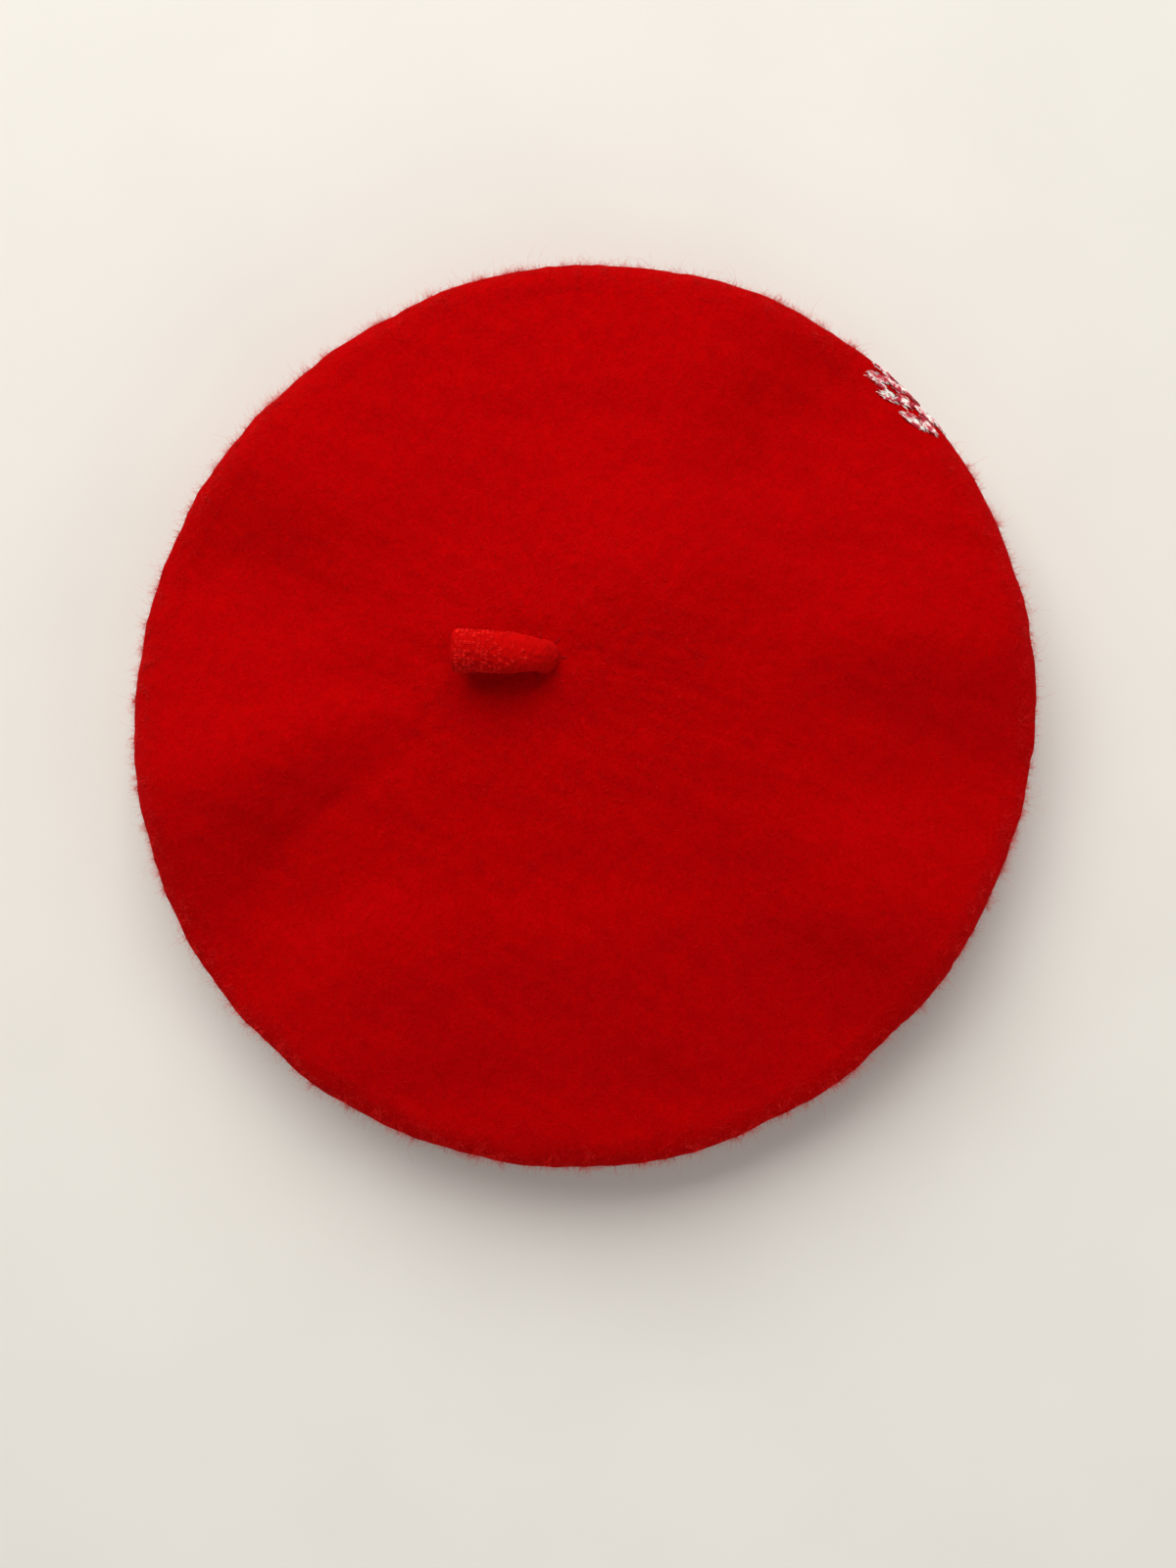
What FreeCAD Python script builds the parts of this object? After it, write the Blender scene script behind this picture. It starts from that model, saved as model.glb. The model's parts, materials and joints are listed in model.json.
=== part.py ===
"""A red felt beret with a stalk, a leather sweatband, a satin lining and an embroidered motif on its rim.

Row frame in millimetres: +Z up through the crown, origin at the centre of the head opening on the table plane,
+Y towards the wearer's forehead, so the band's butt join is at the back, on -Y.
"""

import FreeCAD, Part

import math
import os

import Sketcher

# The driving dimensions. Every name is an alias in the spreadsheet that the features are bound to.
DIMENSIONS = {
    "crown_radius": (140.0, "outer radius of the beret seen from above"),
    "crown_height": (52.0, "top of the felt above the table"),
    "felt_thickness": (2.6, "fulled wool"),
    "rim_roll": (13.0, "outer radius of the rolled rim's section"),
    "rim_height": (26.0, "height of the roll's centre"),
    "opening_radius": (91.2, "inner face of the felt at the head opening"),
    "collar_height": (5.0, "straight stretch of felt above the table at the opening"),
    "collar_turn": (5.0, "outer radius where the collar turns out into the underside"),
    "hem_round": (0.8, "rounding of the cut edge of the felt"),
    "band_inner_radius": (89.0, "inner face of the leather sweatband, a head of 559 mm round"),
    "band_thickness": (1.2, "leather"),
    "band_width": (30.0, "strip width"),
    "band_foot": (0.8, "height of the band's lower edge"),
    "band_round": (0.35, "burnished edges of the leather"),
    "band_gap": (0.25, "width of the butt join"),
    "lining_thickness": (0.4, "satin"),
    "lining_gap": (0.2, "between felt and satin where they lie together"),
    "lining_radius": (128.0, "seam circle of the lining"),
    "lining_drop": (5.6, "how far the satin tip hangs below the top of the felt"),
    "seam_allowance": (4.0, "flange turned outwards at the lining's seam"),
    "label_length": (46.0, "woven label"),
    "label_width": (22.0, "woven label"),
    "label_thickness": (0.5, "woven label"),
    "label_drop": (1.3, "between the lining tip and the label at its centre"),
    "tag_width": (18.0, "care tag, along the band"),
    "tag_length": (24.0, "care tag, from its sewn edge to its fold"),
    "tag_thickness": (0.8, "two layers of tape"),
    "tag_foot": (11.0, "height of the tag's sewn edge"),
    "tag_radius": (91.1, "distance of the tag's sewn edge from the axis"),
    "tag_lean": (4.0, "degrees that the tag leans out from the band"),
    "tag_azimuth": (-60.0, "degrees from +X to the tag"),
    "stalk_x": (-12.0, "foot of the stalk"),
    "stalk_y": (16.8, "foot of the stalk"),
    "stalk_length": (26.0, "hinge to free end"),
    "stalk_root_radius": (5.2, "rounded root"),
    "stalk_mid_radius": (5.6, "tube"),
    "stalk_tip_radius": (6.2, "flared free end"),
    "stalk_flare": (9.0, "length of the flare"),
    "stalk_mouth_radius": (3.4, "open end of the knitted tube"),
    "stalk_mouth_depth": (5.0, "open end of the knitted tube"),
    "stalk_clearance": (0.4, "between the stalk's root and the crown"),
    "stalk_tilt": (12.0, "degrees that the stalk lifts off the crown"),
    "stalk_heading": (177.0, "degrees from +X to the way that the stalk lies"),
    "thread_radius": (0.3, "sewing thread as it lies on leather or felt"),
    "thread_sink": (0.1, "how far a stitch's centre lies under the face"),
    "stitch_pitch": (4.5, "sweatband seam"),
    "stitch_length": (3.3, "sweatband seam"),
    "fine_radius": (0.15, "fine thread of the linings and labels"),
    "fine_pitch": (2.6, "label seams"),
    "fine_length": (1.8, "label seams"),
    "lining_pitch": (5.0, "lining seam"),
    "lining_stitch": (3.6, "lining seam"),
    "tack_reach": (6.4, "distance of the tacks from the stalk's foot"),
    "tack_length": (2.4, "tacks around the stalk's foot"),
    "motif_azimuth": (44.7, "degrees from +X to the motif's middle"),
    "motif_sink": (0.3, "how deep the embroidery bites into the felt"),
    "motif_rise": (0.6, "how proud it stands"),
}

BAND_STITCH_HEIGHT = 3.0
BACK_DEGREES = -90.0
JOIN_STITCHES = 9
TACK_COUNT = 7
# Rows of embroidered bars: degrees of the row's middle on the roll's section, above its outermost circle,
# and how many bars the row has.
MOTIF_ROWS = ((58.0, 2), (44.0, 3), (30.0, 2), (16.0, 3), (2.0, 2), (-12.0, 3), (-26.0, 2))
BAR_HEIGHT = 8.0  # degrees of the section
BAR_LENGTH = 3.7  # degrees round the rim
BAR_PITCH = 4.7  # degrees round the rim
OUTLINE_WIDTH = 1.5  # degrees of the section, above and below a bar
OUTLINE_HEIGHT = 0.75  # of the bars' own height

doc = FreeCAD.newDocument("Beret")
sheet = doc.addObject("Spreadsheet::Sheet", "Sizes")


def fill_sheet():
    """Puts each dimension in column B with its name as alias."""
    for row, (name, (value, note)) in enumerate(DIMENSIONS.items(), start=1):
        sheet.set("A%d" % row, name)
        sheet.set("B%d" % row, "%g" % value)
        sheet.set("C%d" % row, note)
        sheet.setAlias("B%d" % row, name)
    doc.recompute()


def size(name):
    """A dimension, read back from the sheet."""
    return float(sheet.get(name))


def vec(x, y, z=0.0):
    return FreeCAD.Vector(x, y, z)


def polar(radius, degrees, z=0.0):
    a = math.radians(degrees)
    return vec(radius * math.cos(a), radius * math.sin(a), z)


def new_body(label):
    """A PartDesign body with a sketch on its XZ plane, so that the sketch's V axis is the row's Z."""
    body = doc.addObject("PartDesign::Body", label)
    body.Label = label
    sketch = body.newObject("Sketcher::SketchObject", label + "_profile")
    plane = next(f for f in body.Origin.OriginFeatures if f.Role == "XZ_Plane")
    sketch.AttachmentSupport = [(plane, "")]
    sketch.MapMode = "FlatFace"
    return body, sketch


def dimension(sketch, name, constraint, expression):
    """Adds a named constraint and binds it to the sheet."""
    index = sketch.addConstraint(constraint)
    sketch.renameConstraint(index, name)
    sketch.setExpression("Constraints." + name, expression)


def line(a, b):
    return Part.LineSegment(a, b)


def arc(centre, radius, start_degrees, end_degrees):
    circle = Part.Circle(centre, vec(0, 0, 1), radius)
    return Part.ArcOfCircle(circle, math.radians(start_degrees), math.radians(end_degrees))


def place(point, axis=None, degrees=0.0):
    return FreeCAD.Placement(point, FreeCAD.Rotation(axis or vec(0, 0, 1), degrees))


def revolve(body, sketch, angle=None):
    """Turns the profile round the row's Z; angle is an expression, for less than a full turn."""
    turned = body.newObject("PartDesign::Revolution", body.Label + "_turned")
    turned.Profile = sketch
    turned.ReferenceAxis = (sketch, ["V_Axis"])
    turned.Angle = 360
    if angle:
        turned.Midplane = True
        turned.setExpression("Angle", angle)
    sketch.Visibility = False
    doc.recompute()
    return turned


def round_rings(body, base, name, radius_name, chosen):
    """Fillets the circular edges of base that chosen picks."""
    edges = ["Edge%d" % (i + 1) for i, e in enumerate(base.Shape.Edges) if chosen(e)]
    fillet = body.newObject("PartDesign::Fillet", name)
    fillet.Base = (base, edges)
    fillet.setExpression("Radius", "Sizes." + radius_name)
    doc.recompute()
    return fillet


def feature(label, shape):
    """A plain Part feature for what is made of many loose solids."""
    made = doc.addObject("Part::Feature", label)
    made.Label = label
    made.Shape = shape
    made.Placement = FreeCAD.Placement()
    return made


def crown_dome_radius():
    """Radius of the dome that meets the axis at the crown's height and is tangent to the roll."""
    reach = size("crown_radius") - size("rim_roll")
    rise = size("crown_height") - size("rim_height")
    roll = size("rim_roll")
    return (reach**2 + rise**2 - roll**2) / (2 * (rise - roll))


def crown_top(radius):
    """Height of the felt's outer face at a distance from the axis."""
    dome = crown_dome_radius()
    return size("crown_height") - dome + math.sqrt(dome**2 - radius**2)


def underside_tangent():
    """Degrees by which the underside rises outwards, between the collar's turn and the roll."""
    run = size("crown_radius") - size("rim_roll") - collar_centre_radius()
    rise = size("rim_height") - size("collar_height")
    reach = math.hypot(run, rise)
    both = size("collar_turn") + size("rim_roll")
    return math.degrees(math.atan2(rise, run) - math.asin(both / reach))


def collar_centre_radius():
    return size("opening_radius") + size("felt_thickness") + size("collar_turn")


def felt_crown():
    """One piece of fulled wool: dome, rolled rim, underside and collar round the head opening."""
    body, s = new_body("felt_crown")
    t, roll, height = size("felt_thickness"), size("rim_roll"), size("crown_height")
    dome = crown_dome_radius()
    rim = vec(size("crown_radius") - roll, size("rim_height"))
    top = vec(0, height - dome)
    collar = vec(collar_centre_radius(), size("collar_height"))
    turn, wall = size("collar_turn"), size("opening_radius")
    up = math.degrees(math.atan2(rim.y - top.y, rim.x))
    slope = underside_tangent()
    ring = lambda c, r, a: c + polar(r, a)
    s.addGeometry(arc(top, dome, up, 90))  # 0 dome, outside
    s.addGeometry(arc(rim, roll, slope - 90, up))  # 1 roll, outside
    s.addGeometry(line(ring(rim, roll, slope - 90), ring(collar, turn, slope + 90)))  # 2 underside
    s.addGeometry(arc(collar, turn, slope + 90, 180))  # 3 collar's turn
    s.addGeometry(line(vec(wall + t, collar.y), vec(wall + t, 0)))  # 4 collar, outside
    s.addGeometry(line(vec(wall + t, 0), vec(wall, 0)))  # 5 hem
    s.addGeometry(line(vec(wall, 0), vec(wall, collar.y)))  # 6 collar, inside
    s.addGeometry(arc(collar, turn + t, slope + 90, 180))  # 7 collar's turn, inside
    s.addGeometry(line(ring(collar, turn + t, slope + 90), ring(rim, roll - t, slope - 90)))  # 8
    s.addGeometry(arc(rim, roll - t, slope - 90, up))  # 9 roll, inside
    s.addGeometry(arc(top, dome - t, up, 90))  # 10 dome, inside
    s.addGeometry(line(vec(0, height - t), vec(0, height)))  # 11 on the axis
    for a, a_end, b, b_end in ((0, 1, 1, 2), (1, 1, 2, 1), (2, 2, 3, 1), (3, 2, 4, 1), (6, 2, 7, 2),
                               (7, 1, 8, 1), (8, 2, 9, 1), (9, 2, 10, 1)):
        s.addConstraint(Sketcher.Constraint("Tangent", a, a_end, b, b_end))
    for a, a_end, b, b_end in ((4, 2, 5, 1), (5, 2, 6, 1), (10, 2, 11, 1), (11, 2, 0, 2),
                               (9, 3, 1, 3), (7, 3, 3, 3), (10, 3, 0, 3)):
        s.addConstraint(Sketcher.Constraint("Coincident", a, a_end, b, b_end))
    for g in (4, 6, 11):
        s.addConstraint(Sketcher.Constraint("Vertical", g))
    s.addConstraint(Sketcher.Constraint("Horizontal", 5))
    s.addConstraint(Sketcher.Constraint("PointOnObject", 0, 3, -2))
    s.addConstraint(Sketcher.Constraint("PointOnObject", 0, 2, -2))
    s.addConstraint(Sketcher.Constraint("PointOnObject", 5, 1, -1))
    dimension(s, "dome_apex", Sketcher.Constraint("DistanceY", -1, 1, 0, 2, height), "Sizes.crown_height")
    dimension(s, "roll_radius", Sketcher.Constraint("Radius", 1, roll), "Sizes.rim_roll")
    dimension(s, "roll_inside", Sketcher.Constraint("Radius", 9, roll - t),
              "Sizes.rim_roll - Sizes.felt_thickness")
    dimension(s, "roll_x", Sketcher.Constraint("DistanceX", -1, 1, 1, 3, rim.x),
              "Sizes.crown_radius - Sizes.rim_roll")
    dimension(s, "roll_z", Sketcher.Constraint("DistanceY", -1, 1, 1, 3, rim.y), "Sizes.rim_height")
    dimension(s, "turn_radius", Sketcher.Constraint("Radius", 3, turn), "Sizes.collar_turn")
    dimension(s, "collar_top", Sketcher.Constraint("DistanceY", -1, 1, 3, 3, collar.y),
              "Sizes.collar_height")
    dimension(s, "opening", Sketcher.Constraint("DistanceX", -1, 1, 6, 1, wall), "Sizes.opening_radius")
    dimension(s, "thickness", Sketcher.Constraint("DistanceX", 6, 1, 4, 2, t), "Sizes.felt_thickness")
    turned = revolve(body, s)
    round_rings(body, turned, "hem_round", "hem_round",
                lambda e: abs(e.BoundBox.ZMax) < 1e-6 and e.BoundBox.XLength > 1)
    return body


def sweatband():
    """The leather strip that stands inside the opening, with its butt join at the back."""
    body, s = new_body("sweatband")
    inner, foot = size("band_inner_radius"), size("band_foot")
    outer, top = inner + size("band_thickness"), foot + size("band_width")
    corners = [vec(inner, foot), vec(outer, foot), vec(outer, top), vec(inner, top)]
    for i in range(4):
        s.addGeometry(line(corners[i], corners[(i + 1) % 4]))
    for i in range(4):
        s.addConstraint(Sketcher.Constraint("Coincident", i, 2, (i + 1) % 4, 1))
        s.addConstraint(Sketcher.Constraint("Vertical" if i % 2 else "Horizontal", i))
    dimension(s, "inner", Sketcher.Constraint("DistanceX", -1, 1, 0, 1, inner), "Sizes.band_inner_radius")
    dimension(s, "foot", Sketcher.Constraint("DistanceY", -1, 1, 0, 1, foot), "Sizes.band_foot")
    dimension(s, "thickness", Sketcher.Constraint("DistanceX", 0, 1, 0, 2, outer - inner),
              "Sizes.band_thickness")
    dimension(s, "width", Sketcher.Constraint("DistanceY", 1, 1, 1, 2, top - foot), "Sizes.band_width")
    turned = revolve(body, s, "360 - Sizes.band_gap / Sizes.band_inner_radius * 180 / pi")
    round_rings(body, turned, "burnished_edges", "band_round", lambda e: e.BoundBox.ZLength < 1e-6
                and e.Length > 10 * size("band_width"))
    body.Placement = place(vec(0, 0), degrees=BACK_DEGREES - 180)
    return body


def lining_path():
    """Corner values of the satin underside: its seam, its collar turn and its foot behind the band."""
    seam = vec(size("lining_radius"), size("rim_height"))
    turn = size("collar_turn") + size("felt_thickness") + size("lining_gap")
    collar = vec(collar_centre_radius(), size("collar_height"))
    to_seam = seam - collar
    touch = math.degrees(math.atan2(to_seam.y, to_seam.x) + math.acos(turn / to_seam.Length))
    return seam, collar, turn, touch


def lining_underside():
    """Satin annulus from the seam circle, down over the collar and behind the sweatband."""
    body, s = new_body("lining_underside")
    t, foot = size("lining_thickness"), size("band_foot")
    seam, collar, turn, touch = lining_path()
    flange = vec(seam.x + size("seam_allowance"), seam.y)
    out = [collar + polar(turn, touch), collar + polar(turn + t, touch)]
    fold = seam + polar(t, touch)
    s.addGeometry(line(seam, out[0]))  # 0 felt side, sloping to the collar
    s.addGeometry(arc(collar, turn, touch, 180))  # 1
    s.addGeometry(line(vec(collar.x - turn, collar.y), vec(collar.x - turn, foot)))  # 2
    s.addGeometry(line(vec(collar.x - turn, foot), vec(collar.x - turn - t, foot)))  # 3
    s.addGeometry(line(vec(collar.x - turn - t, foot), vec(collar.x - turn - t, collar.y)))  # 4
    s.addGeometry(arc(collar, turn + t, touch, 180))  # 5
    s.addGeometry(line(out[1], fold))  # 6 head side
    s.addGeometry(line(fold, vec(flange.x, fold.y)))  # 7 flange, upper face
    s.addGeometry(line(vec(flange.x, fold.y), flange))  # 8
    s.addGeometry(line(flange, seam))  # 9 flange, lower face
    for a, a_end, b, b_end in ((0, 2, 1, 1), (1, 2, 2, 1), (4, 2, 5, 2), (5, 1, 6, 1)):
        s.addConstraint(Sketcher.Constraint("Tangent", a, a_end, b, b_end))
    for a, a_end, b, b_end in ((2, 2, 3, 1), (3, 2, 4, 1), (6, 2, 7, 1), (7, 2, 8, 1), (8, 2, 9, 1),
                               (9, 2, 0, 1), (5, 3, 1, 3)):
        s.addConstraint(Sketcher.Constraint("Coincident", a, a_end, b, b_end))
    for g in (3, 7, 9):
        s.addConstraint(Sketcher.Constraint("Horizontal", g))
    for g in (2, 4, 8):
        s.addConstraint(Sketcher.Constraint("Vertical", g))
    s.addConstraint(Sketcher.Constraint("Parallel", 0, 6))
    dimension(s, "seam_x", Sketcher.Constraint("DistanceX", -1, 1, 0, 1, seam.x), "Sizes.lining_radius")
    dimension(s, "seam_z", Sketcher.Constraint("DistanceY", -1, 1, 0, 1, seam.y), "Sizes.rim_height")
    dimension(s, "turn_radius", Sketcher.Constraint("Radius", 1, turn),
              "Sizes.collar_turn + Sizes.felt_thickness + Sizes.lining_gap")
    dimension(s, "collar_x", Sketcher.Constraint("DistanceX", -1, 1, 1, 3, collar.x),
              "Sizes.opening_radius + Sizes.felt_thickness + Sizes.collar_turn")
    dimension(s, "collar_z", Sketcher.Constraint("DistanceY", -1, 1, 1, 3, collar.y),
              "Sizes.collar_height")
    dimension(s, "foot_z", Sketcher.Constraint("DistanceY", -1, 1, 3, 1, foot), "Sizes.band_foot")
    dimension(s, "thickness", Sketcher.Constraint("DistanceX", 3, 2, 3, 1, t), "Sizes.lining_thickness")
    dimension(s, "flange", Sketcher.Constraint("DistanceY", 8, 2, 8, 1, t), "Sizes.lining_thickness")
    dimension(s, "allowance", Sketcher.Constraint("DistanceX", 0, 1, 8, 2, size("seam_allowance")),
              "Sizes.seam_allowance")
    revolve(body, s)
    return body


def tip_radii():
    """Height of the tip's seam face, its apex, and the radius of its sagging arc, on the head side."""
    seam_z = size("rim_height") + size("lining_thickness")
    apex = size("crown_height") - size("lining_drop")
    sag = apex - seam_z
    return seam_z, apex, (size("lining_radius") ** 2 + sag**2) / (2 * sag)


def tip_height(radius):
    """Height of the lining tip's head-side face at a distance from the axis."""
    _, apex, dome = tip_radii()
    return apex - dome + math.sqrt(dome**2 - radius**2)


def lining_tip():
    """Satin disc under the crown, sewn to the underside at its edge."""
    body, s = new_body("lining_tip")
    t, reach = size("lining_thickness"), size("lining_radius")
    seam_z, apex, dome = tip_radii()
    centre = vec(0, apex - dome)
    start = math.degrees(math.atan2(seam_z - centre.y, reach))
    upper = math.degrees(math.asin((seam_z + t - centre.y) / (dome + t)))
    fold = centre + polar(dome + t, upper)
    end = reach + size("seam_allowance")
    s.addGeometry(arc(centre, dome, start, 90))  # 0 head side
    s.addGeometry(arc(centre, dome + t, upper, 90))  # 1 felt side
    s.addGeometry(line(vec(0, apex), vec(0, apex + t)))  # 2 on the axis
    s.addGeometry(line(vec(reach, seam_z), vec(end, seam_z)))  # 3 flange, lower face
    s.addGeometry(line(vec(end, seam_z), vec(end, seam_z + t)))  # 4
    s.addGeometry(line(vec(end, seam_z + t), fold))  # 5 flange, upper face
    for a, a_end, b, b_end in ((0, 2, 2, 1), (2, 2, 1, 2), (0, 1, 3, 1), (3, 2, 4, 1), (4, 2, 5, 1),
                               (5, 2, 1, 1), (1, 3, 0, 3)):
        s.addConstraint(Sketcher.Constraint("Coincident", a, a_end, b, b_end))
    for g in (3, 5):
        s.addConstraint(Sketcher.Constraint("Horizontal", g))
    s.addConstraint(Sketcher.Constraint("Vertical", 4))
    s.addConstraint(Sketcher.Constraint("PointOnObject", 0, 3, -2))
    s.addConstraint(Sketcher.Constraint("PointOnObject", 2, 1, -2))
    s.addConstraint(Sketcher.Constraint("PointOnObject", 2, 2, -2))
    dimension(s, "apex", Sketcher.Constraint("DistanceY", -1, 1, 2, 1, apex),
              "Sizes.crown_height - Sizes.lining_drop")
    dimension(s, "thickness", Sketcher.Constraint("DistanceY", 2, 1, 2, 2, t), "Sizes.lining_thickness")
    dimension(s, "flange", Sketcher.Constraint("DistanceY", 4, 1, 4, 2, t), "Sizes.lining_thickness")
    dimension(s, "seam_x", Sketcher.Constraint("DistanceX", -1, 1, 0, 1, reach), "Sizes.lining_radius")
    dimension(s, "allowance", Sketcher.Constraint("DistanceX", 3, 1, 3, 2, end - reach),
              "Sizes.seam_allowance")
    dimension(s, "seam_z", Sketcher.Constraint("DistanceY", -1, 1, 0, 1, seam_z),
              "Sizes.rim_height + Sizes.lining_thickness")
    revolve(body, s)
    return body


def stalk_frame():
    """The hinge point, the way that the stalk lies, and the hinge's axis."""
    foot = vec(size("stalk_x"), size("stalk_y"))
    lift = size("stalk_root_radius") + size("stalk_clearance")
    hinge = vec(foot.x, foot.y, crown_top(foot.Length) + lift)
    heading, tilt = size("stalk_heading"), math.radians(size("stalk_tilt"))
    flat = polar(1, heading)
    way = flat * math.cos(tilt) + vec(0, 0, math.sin(tilt))
    return hinge, way, flat.cross(vec(0, 0, 1))


def stalk():
    """Short knitted and fulled tube, rounded at its root and open at its flared free end."""
    body, s = new_body("stalk")
    root, mid, tip = size("stalk_root_radius"), size("stalk_mid_radius"), size("stalk_tip_radius")
    length, flare = size("stalk_length"), size("stalk_flare")
    mouth, depth = size("stalk_mouth_radius"), size("stalk_mouth_depth")
    points = [vec(0, -root), vec(root, 0), vec(mid, length - flare), vec(tip, length),
              vec(mouth, length), vec(mouth, length - depth), vec(0, length - depth)]
    s.addGeometry(arc(vec(0, 0), root, -90, 0))  # 0 rounded root
    for a, b in zip(points[1:], points[2:] + points[:1]):
        s.addGeometry(line(a, b))  # 1 tube, 2 flare, 3 end face, 4 mouth, 5 its floor, 6 on the axis
    for i in range(7):
        s.addConstraint(Sketcher.Constraint("Coincident", i, 2, (i + 1) % 7, 1))
    for g in (3, 5):
        s.addConstraint(Sketcher.Constraint("Horizontal", g))
    s.addConstraint(Sketcher.Constraint("Vertical", 4))
    s.addConstraint(Sketcher.Constraint("Coincident", 0, 3, -1, 1))
    s.addConstraint(Sketcher.Constraint("PointOnObject", 0, 1, -2))
    s.addConstraint(Sketcher.Constraint("PointOnObject", 0, 2, -1))
    s.addConstraint(Sketcher.Constraint("PointOnObject", 5, 2, -2))
    for name, item, value, cell in (
        ("root_radius", ("Radius", 0), root, "Sizes.stalk_root_radius"),
        ("mid_radius", ("DistanceX", -1, 1, 1, 2), mid, "Sizes.stalk_mid_radius"),
        ("tube_length", ("DistanceY", -1, 1, 1, 2), length - flare, "Sizes.stalk_length - Sizes.stalk_flare"),
        ("tip_radius", ("DistanceX", -1, 1, 2, 2), tip, "Sizes.stalk_tip_radius"),
        ("full_length", ("DistanceY", -1, 1, 2, 2), length, "Sizes.stalk_length"),
        ("mouth_radius", ("DistanceX", -1, 1, 3, 2), mouth, "Sizes.stalk_mouth_radius"),
        ("mouth_depth", ("DistanceY", 4, 2, 4, 1), depth, "Sizes.stalk_mouth_depth"),
    ):
        dimension(s, name, Sketcher.Constraint(*item, value), cell)
    revolve(body, s)
    hinge, way, _ = stalk_frame()
    body.Placement = FreeCAD.Placement(hinge, FreeCAD.Rotation(vec(0, 0, 1), way))
    return body


def boxed(label, lengths, corner, placement):
    """A box bound to the sheet, centred on its placement's X, with its long edges rounded."""
    box = doc.addObject("Part::Box", label + "_blank")
    for side, expression in zip(("Length", "Width", "Height"), lengths):
        box.setExpression(side, expression)
    doc.recompute()
    rounded = doc.addObject("Part::Fillet", label)
    rounded.Label = label
    rounded.Base = box
    thin = min(range(3), key=lambda i: (box.Length, box.Width, box.Height)[i].Value)
    across = [("XLength", "YLength", "ZLength")[i] for i in range(3) if i != thin]
    rounded.Edges = [(i + 1, corner, corner) for i, e in enumerate(box.Shape.Edges)
                     if all(getattr(e.BoundBox, side) < 1e-6 for side in across)]
    rounded.Placement = placement
    return rounded


def woven_label():
    """Blank woven label under the middle of the lining tip."""
    place_at = vec(-size("label_length") / 2, -size("label_width") / 2,
                   tip_height(0) - size("label_drop") - size("label_thickness"))
    return boxed("woven_label", ("Sizes.label_length", "Sizes.label_width", "Sizes.label_thickness"),
                 0.8, place(place_at))


def tag_placement():
    """The care tag's own frame: X out of the band, Y along it, Z up the tag."""
    foot = polar(size("tag_radius"), size("tag_azimuth"), size("tag_foot"))
    turned = FreeCAD.Rotation(vec(0, 0, 1), size("tag_azimuth"))
    leaned = FreeCAD.Rotation(vec(0, 1, 0), size("tag_lean"))
    return FreeCAD.Placement(foot, turned.multiply(leaned))


def care_tag():
    """Folded tape tag that stands up behind the sweatband from its seam."""
    placed = tag_placement()
    placed.Base = placed.multVec(vec(-size("tag_thickness") / 2, -size("tag_width") / 2))
    return boxed("care_tag", ("Sizes.tag_thickness", "Sizes.tag_width", "Sizes.tag_length"), 1.5, placed)


def stitch(length, radius):
    """One stitch along X, centred: a rod with rounded ends."""
    half = length / 2 - radius
    top = Part.Arc(vec(half, radius), vec(half + radius / math.sqrt(2), radius / math.sqrt(2)),
                   vec(half + radius, 0)).toShape()
    back = Part.Arc(vec(-half - radius, 0), vec(-half - radius / math.sqrt(2), radius / math.sqrt(2)),
                    vec(-half, radius)).toShape()
    side = Part.makeLine(vec(-half, radius), vec(half, radius))
    axis = Part.makeLine(vec(half + radius, 0), vec(-half - radius, 0))
    face = Part.Face(Part.Wire([back, side, top, axis]))
    return face.revolve(vec(0, 0), vec(1, 0), 360)


def laid(piece, point, along, out):
    """A copy of a stitch at a point, lying along a direction."""
    copy = piece.copy()
    copy.Placement = FreeCAD.Placement(point, FreeCAD.Rotation(along, out.cross(along), out, "XZY"))
    return copy


def ring_of_stitches(piece, radius, height, pitch, offset=0.0):
    """Stitches round the axis, end to end."""
    count = round(2 * math.pi * radius / pitch)
    found = []
    for i in range(count):
        a = BACK_DEGREES + (i + 0.5 + offset) * 360 / count
        found.append(laid(piece, polar(radius, a, height), polar(1, a + 90), polar(1, a)))
    return found


def sweatband_stitches():
    """Lock stitch through leather, satin and felt: one run on the leather, one on the felt."""
    one = stitch(size("stitch_length"), size("thread_radius"))
    inside = size("band_inner_radius") + size("thread_sink")
    outside = size("opening_radius") + size("felt_thickness") - size("thread_sink")
    runs = ring_of_stitches(one, inside, BAND_STITCH_HEIGHT, size("stitch_pitch"))
    runs += ring_of_stitches(one, outside, BAND_STITCH_HEIGHT, size("stitch_pitch"))
    return feature("sweatband_stitches", Part.makeCompound(runs))


def sweatband_join_stitches():
    """Zigzag across the butt join at the back of the band."""
    reach = 3.2
    margin = 3.0
    low = size("band_foot") + margin + BAND_STITCH_HEIGHT
    high = size("band_foot") + size("band_width") - margin
    step = (high - low) / JOIN_STITCHES
    radius = size("band_inner_radius") + size("thread_sink")
    one = stitch(0.78 * math.hypot(reach, step), size("thread_radius"))
    found = []
    for i in range(JOIN_STITCHES):
        way = 1 if i % 2 else -1
        along = vec(way * reach, 0, step).normalize()
        found.append(laid(one, polar(radius, BACK_DEGREES, low + (i + 0.5) * step), along,
                          polar(1, BACK_DEGREES)))
    return feature("sweatband_join_stitches", Part.makeCompound(found))


def lining_stitches():
    """Machine seam through the lining's flanges, on the upper one."""
    seam_z, _, _ = tip_radii()
    one = stitch(size("lining_stitch"), size("fine_radius"))
    middle = size("lining_radius") + size("seam_allowance") / 2
    height = seam_z + size("lining_thickness")
    return feature("lining_stitches",
                   Part.makeCompound(ring_of_stitches(one, middle, height, size("lining_pitch"))))


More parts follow.
